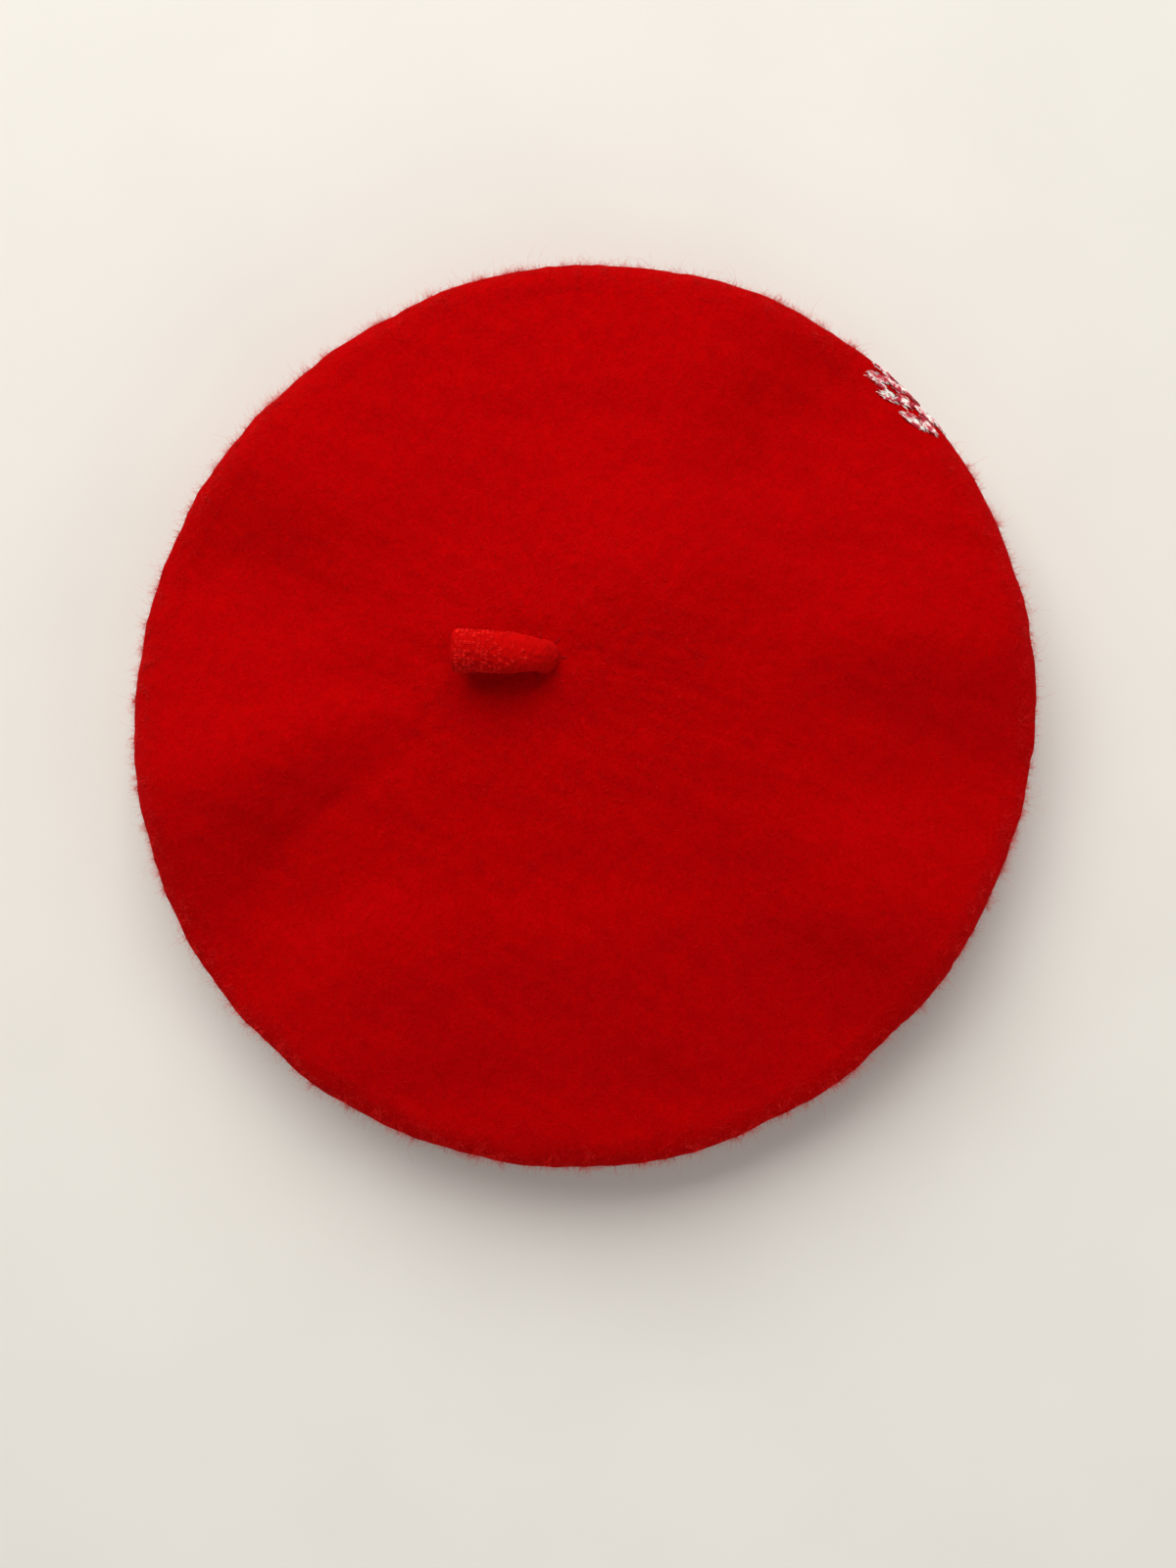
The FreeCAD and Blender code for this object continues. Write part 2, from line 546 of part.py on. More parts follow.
def label_stitches():
    """Running stitch just inside the woven label's edge."""
    inset = 1.4
    one = stitch(size("fine_length"), size("fine_radius"))
    half = vec(size("label_length") / 2 - inset, size("label_width") / 2 - inset)
    z = tip_height(0) - size("label_drop") - size("label_thickness") + size("fine_radius") / 2
    found = []
    for reach, side, along in ((half.x, half.y, vec(1, 0)), (half.y, half.x, vec(0, 1))):
        count = int(2 * reach / size("fine_pitch"))
        for i in range(count):
            at = (i + 0.5 - count / 2) * size("fine_pitch")
            for sign in (-1, 1):
                point = along * at + vec(along.y, along.x) * (sign * side) + vec(0, 0, z)
                found.append(laid(one, point, along, vec(0, 0, 1)))
    return feature("label_stitches", Part.makeCompound(found))


def stalk_tack_stitches():
    """Short tacks on the felt that hold the stalk's foot, left clear of its swing."""
    one = stitch(size("tack_length"), size("thread_radius"))
    foot = vec(size("stalk_x"), size("stalk_y"))
    found = []
    for i in range(TACK_COUNT):
        a = size("stalk_heading") + (i + 0.5) * 360 / TACK_COUNT
        point = foot + polar(size("tack_reach"), a)
        point.z = crown_top(point.Length)
        found.append(laid(one, point, polar(1, a), vec(0, 0, 1)))
    return feature("stalk_tack_stitches", Part.makeCompound(found))


def rim_patch(upper, lower, start, end, sink, rise):
    """A thin pad on the roll between two angles of its section and two azimuths."""
    roll = size("rim_roll")
    centre = vec(size("crown_radius") - roll, 0, size("rim_height"))

    def at(radius, degrees):
        a = math.radians(degrees)
        return centre + vec(radius * math.cos(a), 0, radius * math.sin(a))

    middle = (upper + lower) / 2
    inner, outer = roll - sink, roll + rise
    edges = [
        Part.Arc(at(outer, upper), at(outer, middle), at(outer, lower)).toShape(),
        Part.makeLine(at(outer, lower), at(inner, lower)),
        Part.Arc(at(inner, lower), at(inner, middle), at(inner, upper)).toShape(),
        Part.makeLine(at(inner, upper), at(outer, upper)),
    ]
    face = Part.Face(Part.Wire(edges))
    face.rotate(vec(0, 0), vec(0, 0, 1), size("motif_azimuth") + start)
    return face.revolve(vec(0, 0), vec(0, 0, 1), end - start)


def motif_bars():
    """Upper and lower angle, start and end azimuth of each bar: rows laid like bricks."""
    for middle, count in MOTIF_ROWS:
        for i in range(count):
            along = (i - (count - 1) / 2) * BAR_PITCH
            yield (middle + BAR_HEIGHT / 2, middle - BAR_HEIGHT / 2,
                   along - BAR_LENGTH / 2, along + BAR_LENGTH / 2)


def rim_motif_bars():
    """Pale satin-stitched bars that follow the rim, a plain pattern of no meaning."""
    bars = [rim_patch(*bar, size("motif_sink"), size("motif_rise")) for bar in motif_bars()]
    return feature("rim_motif_bars", Part.makeCompound(bars))


def rim_motif_outline():
    """Dark outline stitching above and below each bar."""
    rise = size("motif_rise") * OUTLINE_HEIGHT
    lines = []
    for upper, lower, start, end in motif_bars():
        lines.append(rim_patch(upper + OUTLINE_WIDTH, upper, start, end, size("motif_sink"), rise))
        lines.append(rim_patch(lower, lower - OUTLINE_WIDTH, start, end, size("motif_sink"), rise))
    return feature("rim_motif_outline", Part.makeCompound(lines))


def check_and_export(parts):
    """Stops on any failed object or unsound shape, then writes one STEP per sub-part."""
    doc.recompute()
    for o in doc.Objects:
        if set(o.State) & {"Invalid", "Error"}:
            raise RuntimeError("%s failed: %s" % (o.Label, o.State))
    os.makedirs("parts", exist_ok=True)
    for part in parts:
        shape = part.Shape
        if shape.isNull() or not shape.isValid() or not shape.Solids:
            raise RuntimeError("%s has no sound shape" % part.Label)
        shape.exportStep(os.path.join("parts", part.Label + ".step"))
        b = shape.optimalBoundingBox(False)
        print("%-26s solids %3d  volume %10.1f  z %.1f to %.1f" % (
            part.Label, len(shape.Solids), shape.Volume, b.ZMin, b.ZMax))
    for o in doc.Objects:
        if o.isDerivedFrom("Sketcher::SketchObject"):
            print("sketch %-28s fully constrained: %s" % (o.Label, o.FullyConstrained))


fill_sheet()
check_and_export([
    felt_crown(),
    sweatband(),
    lining_tip(),
    lining_underside(),
    stalk(),
    woven_label(),
    care_tag(),
    sweatband_stitches(),
    sweatband_join_stitches(),
    lining_stitches(),
    label_stitches(),
    stalk_tack_stitches(),
    rim_motif_bars(),
    rim_motif_outline(),
])
hinge, way, axis = stalk_frame()
print("stalk hinge %s axis %s way %s" % (hinge, axis, way))
tag = tag_placement()
print("tag hinge %s axis %s" % (tag.Base, tag.Rotation.multVec(vec(0, 1, 0))))
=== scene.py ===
"""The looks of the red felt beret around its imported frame: soft felt with its folds and nap, a knitted stalk,
thread, satin and leather. Lengths are worked out in millimetres and written to the meshes in metres."""

import json
import math

import bpy
import numpy as np
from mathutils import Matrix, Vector

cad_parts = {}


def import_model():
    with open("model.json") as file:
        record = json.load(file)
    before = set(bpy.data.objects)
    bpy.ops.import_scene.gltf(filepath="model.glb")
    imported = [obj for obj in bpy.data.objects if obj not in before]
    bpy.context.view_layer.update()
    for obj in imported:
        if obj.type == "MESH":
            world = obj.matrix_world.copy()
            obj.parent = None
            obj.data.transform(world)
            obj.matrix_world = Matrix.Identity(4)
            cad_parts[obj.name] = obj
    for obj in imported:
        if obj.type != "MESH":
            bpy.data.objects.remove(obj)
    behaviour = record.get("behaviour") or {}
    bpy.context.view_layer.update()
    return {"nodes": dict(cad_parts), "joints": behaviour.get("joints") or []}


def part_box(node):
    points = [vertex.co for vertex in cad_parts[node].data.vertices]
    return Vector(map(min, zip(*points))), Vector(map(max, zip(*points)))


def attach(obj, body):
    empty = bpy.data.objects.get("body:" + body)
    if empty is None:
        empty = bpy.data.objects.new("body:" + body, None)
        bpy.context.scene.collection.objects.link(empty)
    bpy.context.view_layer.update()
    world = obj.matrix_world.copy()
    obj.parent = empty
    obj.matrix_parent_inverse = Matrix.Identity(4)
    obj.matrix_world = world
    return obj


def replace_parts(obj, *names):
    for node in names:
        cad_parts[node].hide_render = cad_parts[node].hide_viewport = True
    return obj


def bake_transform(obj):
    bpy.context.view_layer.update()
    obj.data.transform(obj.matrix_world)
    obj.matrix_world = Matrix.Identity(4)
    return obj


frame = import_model()

MM = 0.001
TAU = 2 * math.pi
UP = np.array([0, 0, 1.0])


# ---- what the frame gives, in mm
def box_mm(node):
    """Lowest and highest corners of a CAD node, in mm to a tenth."""
    return [np.round(np.array(corner) / MM, 1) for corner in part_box(node)]


def joint_line(name):
    """A joint's place, in mm, and its axis."""
    joint = next(j for j in frame["joints"] if j["name"] == name)
    return np.array(joint["pos_m"]) / MM, np.array(joint["axis"])


CROWN_RADIUS, _, CROWN_HEIGHT = box_mm("felt_crown")[1]
HINGE, HINGE_AXIS = joint_line("stalk_flop")
ROOT = HINGE[:2]  # where the stalk comes out of the felt, which all folds run from
TAG_FOOT, TAG_AXIS = joint_line("care_tag_flip")

# ---- sizes inside the CAD solids, in mm
FELT = 2.6
ROLL = 13.0  # radius of the rolled rim's section
ROLL_HEIGHT = 26.0
OPENING = 91.2  # inner radius of the collar
COLLAR_HEIGHT = 5.0
COLLAR_TURN = 5.0  # radius of the turn from the underside to the collar
HEM_ROUND = 0.8
STALK_TILT = math.radians(12)
STALK_LENGTH = 26.0
MOTIF_AZIMUTH = math.radians(44.7)
TAG_LEAN = math.radians(4)

# ---- what follows from them
REACH, RISE = CROWN_RADIUS - ROLL, CROWN_HEIGHT - ROLL_HEIGHT
DOME = (REACH**2 + RISE**2 - ROLL**2) / (2 * (RISE - ROLL))
ROLL_UP = math.atan2(ROLL_HEIGHT - (CROWN_HEIGHT - DOME), REACH)  # the roll's angle where the dome starts
ROLL_TOP_R = REACH + ROLL * math.cos(ROLL_UP)
COLLAR_R = OPENING + FELT + COLLAR_TURN
RUN, FALL = REACH - COLLAR_R, ROLL_HEIGHT - COLLAR_HEIGHT
SLOPE = math.atan2(FALL, RUN) - math.asin((COLLAR_TURN + ROLL) / math.hypot(RUN, FALL))
ROLL_DOWN = SLOPE - math.pi / 2  # the roll's angle where the underside starts

# ---- how this beret lies
OVAL = (1.95, math.radians(48))  # the outline is this much longer along one diagonal
# Folds that run out from the stalk: azimuth, rise, half width in degrees, where they start and are full
FOLDS = (
    (143, 5.2, 12, 45, 105),
    (165, -4.8, 10, 45, 105),
    (199, 6.0, 11, 20, 105),
    (223, -5.6, 10, 20, 105),
    (245, 1.8, 11, 70, 115),
    (62, 3.4, 12, 60, 110),
    (40, -4.2, 12, 60, 110),
    (4, 4.2, 10, 60, 108),
    (-16, -4.6, 10, 60, 108),
    (-34, 3.6, 9, 75, 118),
    (-54, -3.2, 10, 70, 118),
    (-75, 1.2, 14, 60, 120),
)
# Broad rises of the crown's middle: rise, radius, centre
SWELLS = (
    (8.8, 32.0, (15.0, 38.0)),
    (3.4, 36.0, (32.0, -12.0)),
    (3.0, 18.0, (-35.0, 18.0)),
)
# How far the felt may sink before the lining holds it: in the middle, and how much more at the rim
HOLD_MIDDLE, HOLD_RIM = 2.0, 9.8
HOLD_SHARPNESS = 2  # per mm, how suddenly it is held
# Soft creases across the back: rise, width, from, to
CREASES = (
    (1.5, 15, (-92, -70), (92, -66)),
    (-1.6, 14, (-66, -116), (58, -116)),
)
# Unevenness as ripples: height, wavelength, seed
LUMPS = ((0.09, 4.2, 8), (0.13, 9, 5), (0.30, 24, 6))
WANDER = ((0.30, 95, 3), (0.16, 30, 4))
SLACK = ((0.6, 70, 7),)
PUCKERS, PUCKER_HEIGHT = 31, 0.45  # waves round the underside, near the collar


# ---- small helpers
def smooth(t):
    t = np.clip(t, 0, 1)
    return t * t * (3 - 2 * t)


def ripple(points, wavelength, seed):
    """Smooth noise, about -1 to 1: plane waves in seeded directions, points in mm."""
    rng = np.random.default_rng(seed)
    waves = 14
    ways = rng.normal(size=(waves, points.shape[-1]))
    ways /= np.linalg.norm(ways, axis=1, keepdims=True)
    lengths = wavelength * rng.uniform(0.7, 1.5, waves)
    phases = rng.uniform(0, TAU, waves)
    total = np.zeros(points.shape[:-1])
    for way, length, phase in zip(ways, lengths, phases):
        total += np.sin(TAU * (points @ way) / length + phase)
    return total / math.sqrt(waves)


def uneven(points, ripples):
    """Sum of ripples, each given by its height, wavelength and seed."""
    return sum(height * ripple(points, wavelength, seed) for height, wavelength, seed in ripples)


def unit(v):
    return v / np.maximum(np.linalg.norm(v, axis=-1, keepdims=True), 1e-9)


def grid_faces(rows, columns, start=0, flip=False):
    """Quads over a grid of vertices that closes on itself round its columns."""
    i, j = np.meshgrid(np.arange(rows - 1), np.arange(columns), indexing="ij")
    k = (j + 1) % columns
    quads = np.stack([i * columns + j, i * columns + k, (i + 1) * columns + k, (i + 1) * columns + j], -1)
    quads = quads.reshape(-1, 4) + start
    return (quads[:, ::-1] if flip else quads).tolist()


def fan(apex, ring, flip=False):
    """Triangles from one vertex to a closed ring of them."""
    turned = np.roll(ring, -1)
    return [[apex, b, a] if flip else [apex, a, b] for a, b in zip(ring.tolist(), turned.tolist())]


def in_scene(name, data):
    made = bpy.data.objects.new(name, data)
    bpy.context.scene.collection.objects.link(made)
    return made


def piece(name, points, faces, body, slot, mat):
    """A finished, smooth-shaded mesh from points in mm, which rides on a body unless that is None."""
    mesh = bpy.data.meshes.new(name)
    mesh.from_pydata((np.asarray(points) * MM).tolist(), [], faces)
    mesh.polygons.foreach_set("use_smooth", [True] * len(mesh.polygons))
    mesh.validate()
    mesh.update()
    made = in_scene(name, mesh)
    mesh.materials.append(mat)
    if body is not None:
        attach(made, body)
    return made


# ---- materials
MIX_COLOUR_A, MIX_COLOUR_B, MIX_COLOUR_OUT = 6, 7, 2  # the colour sockets of a Mix node


class Look:
    """A Principled material and short ways to add the nodes that it needs."""

    def __init__(self, name, roughness, sheen=0.0, sheen_roughness=0.5, sheen_tint=(1, 1, 1), specular=0.5):
        self.material = bpy.data.materials.new(name)
        self.material.use_nodes = True
        self.tree = self.material.node_tree
        self.shader = self.tree.nodes["Principled BSDF"]
        values = {"Roughness": roughness, "Specular IOR Level": specular, "Sheen Weight": sheen,
                  "Sheen Roughness": sheen_roughness, "Sheen Tint": (*sheen_tint, 1)}
        for key, value in values.items():
            self.shader.inputs[key].default_value = value
        self.place = self.node("ShaderNodeTexCoord").outputs["Object"]

    def node(self, kind, **settings):
        made = self.tree.nodes.new(kind)
        for key, value in settings.items():
            setattr(made, key, value)
        return made

    def put(self, socket, value):
        if isinstance(value, bpy.types.NodeSocket):
            self.tree.links.new(value, socket)
        else:
            socket.default_value = value

    def stretched(self, scale):
        mapping = self.node("ShaderNodeMapping")
        self.put(mapping.inputs["Vector"], self.place)
        mapping.inputs["Scale"].default_value = scale
        return mapping.outputs["Vector"]

    def noise(self, size_mm, detail=3.0, roughness=0.6, place=None, distortion=0.0):
        tex = self.node("ShaderNodeTexNoise")
        self.put(tex.inputs["Vector"], place or self.place)
        tex.inputs["Scale"].default_value = 1 / (size_mm * MM)
        tex.inputs["Detail"].default_value = detail
        tex.inputs["Roughness"].default_value = roughness
        tex.inputs["Distortion"].default_value = distortion
        return tex.outputs["Fac"]

    def cell_edges(self, size_mm):
        tex = self.node("ShaderNodeTexVoronoi", feature="DISTANCE_TO_EDGE")
        self.put(tex.inputs["Vector"], self.place)
        tex.inputs["Scale"].default_value = 1 / (size_mm * MM)
        return tex.outputs["Distance"]

    def bands(self, size_mm, place=None, distortion=0.0, direction="X"):
        tex = self.node("ShaderNodeTexWave", bands_direction=direction)
        self.put(tex.inputs["Vector"], place or self.place)
        tex.inputs["Scale"].default_value = 1 / (size_mm * MM) / TAU * 2
        tex.inputs["Distortion"].default_value = distortion
        return tex.outputs["Fac"]

    def product(self, a, b):
        made = self.node("ShaderNodeMath", operation="MULTIPLY")
        self.put(made.inputs[0], a)
        self.put(made.inputs[1], b)
        return made.outputs[0]

    def ramp(self, value, *stops):
        made = self.node("ShaderNodeValToRGB")
        self.put(made.inputs["Fac"], value)
        points = made.color_ramp.elements
        for i, (at, colour) in enumerate(stops):
            point = points[i] if i < 2 else points.new(at)
            point.position = at
            point.color = (*colour, 1) if hasattr(colour, "__len__") else (colour, colour, colour, 1)
        return made.outputs["Color"]

    def mixed(self, amount, a, b, blend="MIX"):
        made = self.node("ShaderNodeMix", data_type="RGBA", blend_type=blend)
        self.put(made.inputs["Factor"], amount)
        self.put(made.inputs[MIX_COLOUR_A], a)
        self.put(made.inputs[MIX_COLOUR_B], b)
        return made.outputs[MIX_COLOUR_OUT]

    def colour(self, value):
        self.put(self.shader.inputs["Base Color"], value)

    def rough(self, value, low, high):
        spread = self.node("ShaderNodeMapRange")
        self.put(spread.inputs["Value"], value)
        spread.inputs["To Min"].default_value = low
        spread.inputs["To Max"].default_value = high
        self.put(self.shader.inputs["Roughness"], spread.outputs["Result"])

    def bump(self, height, depth_mm, strength=1.0):
        made = self.node("ShaderNodeBump")
        made.inputs["Strength"].default_value = strength
        made.inputs["Distance"].default_value = depth_mm * MM
        self.put(made.inputs["Height"], height)
        before = self.shader.inputs["Normal"].links
        if before:
            self.put(made.inputs["Normal"], before[0].from_socket)
        self.put(self.shader.inputs["Normal"], made.outputs["Normal"])


GRAIN_ACROSS, GRAIN_ALONG = 0.05, 0.12  # scale of the grain's noise round the root, and away from it


def grain_from_root(look):
    """Coordinates in which noise is drawn out along the lines that leave the stalk's root."""
    def vector(operation, a, b=(0, 0, 0)):
        made = look.node("ShaderNodeVectorMath", operation=operation)
        look.put(made.inputs[0], a)
        look.put(made.inputs[1], b)
        return made

    off = vector("SUBTRACT", look.place, (*ROOT * MM, 0))
    flat = vector("MULTIPLY", off.outputs["Vector"], (1, 1, 0)).outputs["Vector"]
    way = vector("NORMALIZE", flat)
    reach = vector("LENGTH", flat)
    wide = vector("SCALE", way.outputs["Vector"])
    wide.inputs["Scale"].default_value = GRAIN_ACROSS
    out = look.node("ShaderNodeCombineXYZ")
    look.put(out.inputs["Z"], look.product(reach.outputs["Value"], GRAIN_ALONG))
    return vector("ADD", wide.outputs["Vector"], out.outputs["Vector"]).outputs["Vector"]


def felt_look(name, deep, mid, light, grain=True):
    """Fulled wool: matted fibre at three sizes, faint blotches and almost no gloss."""
    look = Look(name, 0.95, sheen=0.20, sheen_roughness=0.3, sheen_tint=(1, 0.03, 0.04), specular=0.012)
    fibre = look.noise(0.42, 5, 0.78, distortion=1.6)
    matted = look.noise(1.3, 4, 0.7, distortion=0.8)
    blotch = look.noise(5, 4, 0.6)
    base = look.ramp(fibre, (0.30, deep), (0.5, mid), (0.70, light))
    soft = look.ramp(matted, (0.32, 0.80), (0.68, 1.0))
    wide = look.ramp(blotch, (0.35, 0.92), (0.65, 1.0))
    tone = look.mixed(1.0, look.mixed(1.0, base, soft, "MULTIPLY"), wide, "MULTIPLY")
    if grain:
        drawn = look.noise(1.0, 3, 0.6, place=grain_from_root(look))
        tone = look.mixed(1.0, tone, look.ramp(drawn, (0.3, 0.93), (0.7, 1.0)), "MULTIPLY")
        look.bump(drawn, 0.2, 0.3)
    look.colour(tone)
    look.rough(matted, 0.85, 1.0)
    look.bump(matted, 0.5, 0.6)
    look.bump(fibre, 0.28, 0.9)
    return look.material


def fibre_look(name, dark, light, sheen=0.1):
    """Loose wool fibres, uneven in colour from one place to the next."""
    look = Look(name, 0.85, sheen=sheen, sheen_roughness=0.4, sheen_tint=(1, 0.2, 0.2), specular=0.03)
    look.colour(look.ramp(look.noise(1.1, 2, 0.6), (0.3, dark), (0.7, light)))
    look.bump(look.noise(0.06, 2, 0.5), 0.01, 0.5)
    return look.material


def thread_look(name, dark, light, twist_mm=0.32, sheen=0.3, specular=0.5):
    """Twisted thread with slanted turns and some wear."""
    look = Look(name, 0.6, sheen=sheen, sheen_roughness=0.4, specular=specular)
    turns = look.bands(twist_mm, distortion=0.6, direction="DIAGONAL")
    wear = look.noise(2.5, 3, 0.6)
    twisted = look.ramp(turns, (0.2, dark), (0.8, light))
    worn = look.ramp(wear, (0.3, dark), (0.7, light))
    look.colour(look.mixed(0.35, twisted, worn))
    look.bump(turns, 0.08, 0.8)
    return look.material


def leather_look():
    """Brown leather with pores, fine grain and darker patches."""
    look = Look("leather_brown", 0.5, specular=0.4)
    pores = look.cell_edges(0.75)
    fine = look.noise(0.3, 4, 0.7)
    patches = look.noise(9, 4, 0.6)
    base = look.ramp(patches, (0.3, (0.030, 0.014, 0.008)), (0.55, (0.060, 0.029, 0.016)),
                     (0.8, (0.105, 0.055, 0.030)))
    crease = look.ramp(pores, (0.0, 0.55), (0.12, 1.0))
    look.colour(look.mixed(1.0, base, crease, "MULTIPLY"))
    look.rough(fine, 0.38, 0.62)
    look.bump(crease, 0.10, 0.6)
    look.bump(fine, 0.05, 0.5)
    return look.material


def satin_look():
    """Dark red satin: fine warp lines, slubs across them and slow changes of shade."""
    look = Look("satin_dark_red", 0.34, sheen=0.25, sheen_roughness=0.3, sheen_tint=(1, 0.4, 0.4),
                specular=0.5)
    warp = look.bands(0.22, place=look.stretched((1, 0.12, 1)), distortion=0.4)
    slub = look.noise(0.5, 3, 0.6, place=look.stretched((0.08, 1, 1)))
    shade = look.noise(18, 3, 0.5)
    base = look.ramp(shade, (0.3, (0.050, 0.001, 0.004)), (0.7, (0.095, 0.003, 0.008)))
    slubs = look.mixed(1.0, base, look.ramp(slub, (0.3, 0.6), (0.7, 1.0)), "MULTIPLY")
    look.colour(look.mixed(0.4, base, slubs))
    look.rough(slub, 0.26, 0.46)
    look.bump(warp, 0.03, 0.5)
    look.bump(slub, 0.04, 0.4)
    return look.material


def tape_look(name, light, dark, rib_mm=0.45):
    """A woven tape: ribs one way, finer yarns the other way, slightly grubby."""
    look = Look(name, 0.7, sheen=0.2, sheen_roughness=0.4)
    ribs = look.bands(rib_mm, distortion=0.2)
    yarns = look.bands(rib_mm * 0.7, direction="Y", distortion=0.2)
    weave = look.product(ribs, yarns)
    soil = look.noise(6, 4, 0.6)
    woven = look.ramp(weave, (0.1, dark), (0.7, light))
    soiled = look.ramp(soil, (0.3, dark), (0.6, light))
    look.colour(look.mixed(0.5, woven, soiled))
    look.bump(weave, 0.08, 0.8)
    return look.material


def motif_thread_look():
    """Rayon thread, white with some pink in it."""
    look = Look("motif_pale", 0.5, sheen=0.1, sheen_roughness=0.3, specular=0.4)
    drift = look.noise(2.4, 3, 0.6)
    strand = look.noise(0.35, 3, 0.7)
    tint = look.ramp(drift, (0.44, (0.96, 0.91, 0.86)), (0.50, (0.84, 0.42, 0.42)),
                     (0.56, (0.58, 0.02, 0.05)))
    look.colour(look.mixed(1.0, tint, look.ramp(strand, (0.25, 0.80), (0.6, 1.0)), "MULTIPLY"))
    look.bump(strand, 0.05, 0.5)
    return look.material


def floor_look():
    """Plain pale paper."""
    look = Look("floor_pale", 0.85, specular=0.2)
    look.colour(look.ramp(look.noise(60, 3, 0.5), (0.3, (0.73, 0.705, 0.655)), (0.7, (0.75, 0.725, 0.675))))
    look.bump(look.noise(1.5, 3, 0.5), 0.05, 0.2)
    return look.material


RED_FELT = felt_look("felt_red", (0.40, 0.0001, 0.0004), (0.52, 0.0002, 0.0008), (0.64, 0.0006, 0.0014))
# The stalk's felt is lighter than the crown's: partly its own more orange tone, partly painted light that keeps
# the stalk bright and even.
STALK_FELT = felt_look("felt_stalk", (0.45, 0.0006, 0.0008), (0.60, 0.0016, 0.0015), (0.74, 0.007, 0.005),
                       grain=False)
# The fibres' colours are set lighter than the felt's: painted light, for loose fibres that catch the lamp.
NAP_PAINTED_LIGHT = fibre_look("nap_fibre", (0.46, 0.0004, 0.001), (0.80, 0.006, 0.005))
# Fibres on the rim are lighter still: painted highlight for fuzz lit from behind at the outline.
EDGE_NAP_PAINTED_HIGHLIGHT = fibre_look("nap_edge_fibre", (0.56, 0.002, 0.003), (0.86, 0.022, 0.018))
# The knit loops are lighter and more orange than the stalk's felt: painted highlight on the raised loops.
LOOP_YARN_PAINTED_HIGHLIGHT = fibre_look("loop_yarn", (0.50, 0.001, 0.002), (0.88, 0.018, 0.012))
RED_THREAD = thread_look("thread_red", (0.26, 0.0004, 0.001), (0.46, 0.001, 0.002), sheen=0.0, specular=0.08)
SEAM_THREAD = thread_look("thread_linen", (0.17, 0.10, 0.055), (0.40, 0.27, 0.16))
LEATHER = leather_look()
SATIN = satin_look()
LABEL_TAPE = tape_look("tape_label", (0.72, 0.67, 0.55), (0.50, 0.45, 0.36))
TAG_TAPE = tape_look("tape_tag", (0.78, 0.78, 0.75), (0.60, 0.60, 0.58), 0.3)
MOTIF_PALE = motif_thread_look()
MOTIF_DARK = thread_look("motif_dark", (0.09, 0.008, 0.008), (0.24, 0.014, 0.014), 0.22, 0.0, 0.03)


# ---- the felt surface
def folds(x, y):
    """How far this beret's felt stands above the even dome, 0 at the stalk's root."""
    def raw(x, y):
        dx, dy = x - ROOT[0], y - ROOT[1]
        reach, azimuth = np.hypot(dx, dy), np.degrees(np.arctan2(dy, dx))
        total = np.zeros_like(reach)
        for at, rise, width, start, full in FOLDS:
            off = (azimuth - at + 180) % 360 - 180
            total += rise * smooth((reach - start) / (full - start)) * np.exp(-((off / width) ** 2))
        for rise, radius, (cx, cy) in SWELLS:
            total += rise * np.exp(-((x - cx) ** 2 + (y - cy) ** 2) / radius**2)
        for rise, width, (ax, ay), (bx, by) in CREASES:
            ex, ey = bx - ax, by - ay
            along = np.clip(((x - ax) * ex + (y - ay) * ey) / (ex * ex + ey * ey), 0, 1)
            total += rise * np.exp(-((np.hypot(x - ax - along * ex, y - ay - along * ey) / width) ** 2))
        return total

    total = raw(x, y) - raw(ROOT[:1], ROOT[1:])[0]
    lowest = -HOLD_MIDDLE - HOLD_RIM * (x**2 + y**2) / CROWN_RADIUS**2
    return lowest + np.logaddexp(0, HOLD_SHARPNESS * (total - lowest)) / HOLD_SHARPNESS


def section(v):
    """Distance from the axis, height and roll angle on the even section, for v of 1 and more."""
    a = ROLL_UP + np.clip(v - 1, 0, 1) * (ROLL_DOWN - ROLL_UP)
    r, z = REACH + ROLL * np.cos(a), ROLL_HEIGHT + ROLL * np.sin(a)
    # underside
    t = np.clip(v - 2, 0, 1)
    low = (REACH + ROLL * math.cos(ROLL_DOWN), ROLL_HEIGHT + ROLL * math.sin(ROLL_DOWN))
    turn = (COLLAR_R - COLLAR_TURN * math.sin(SLOPE), COLLAR_HEIGHT + COLLAR_TURN * math.cos(SLOPE))
    r = np.where(v > 2, low[0] + t * (turn[0] - low[0]), r)
    z = np.where(v > 2, low[1] + t * (turn[1] - low[1]), z)
    # collar: its turn, then its wall
    sweep = math.pi / 2 - SLOPE
    turn_share = COLLAR_TURN * sweep / (COLLAR_TURN * sweep + COLLAR_HEIGHT - HEM_ROUND)
    t = np.clip(v - 3, 0, 1)
    b = SLOPE + math.pi / 2 + np.clip(t / turn_share, 0, 1) * sweep
    down = np.clip((t - turn_share) / (1 - turn_share), 0, 1) * (COLLAR_HEIGHT - HEM_ROUND)
    r = np.where(v > 3, COLLAR_R + COLLAR_TURN * np.cos(b), r)
    z = np.where(v > 3, COLLAR_HEIGHT + COLLAR_TURN * np.sin(b) - down, z)
    return r, z, a


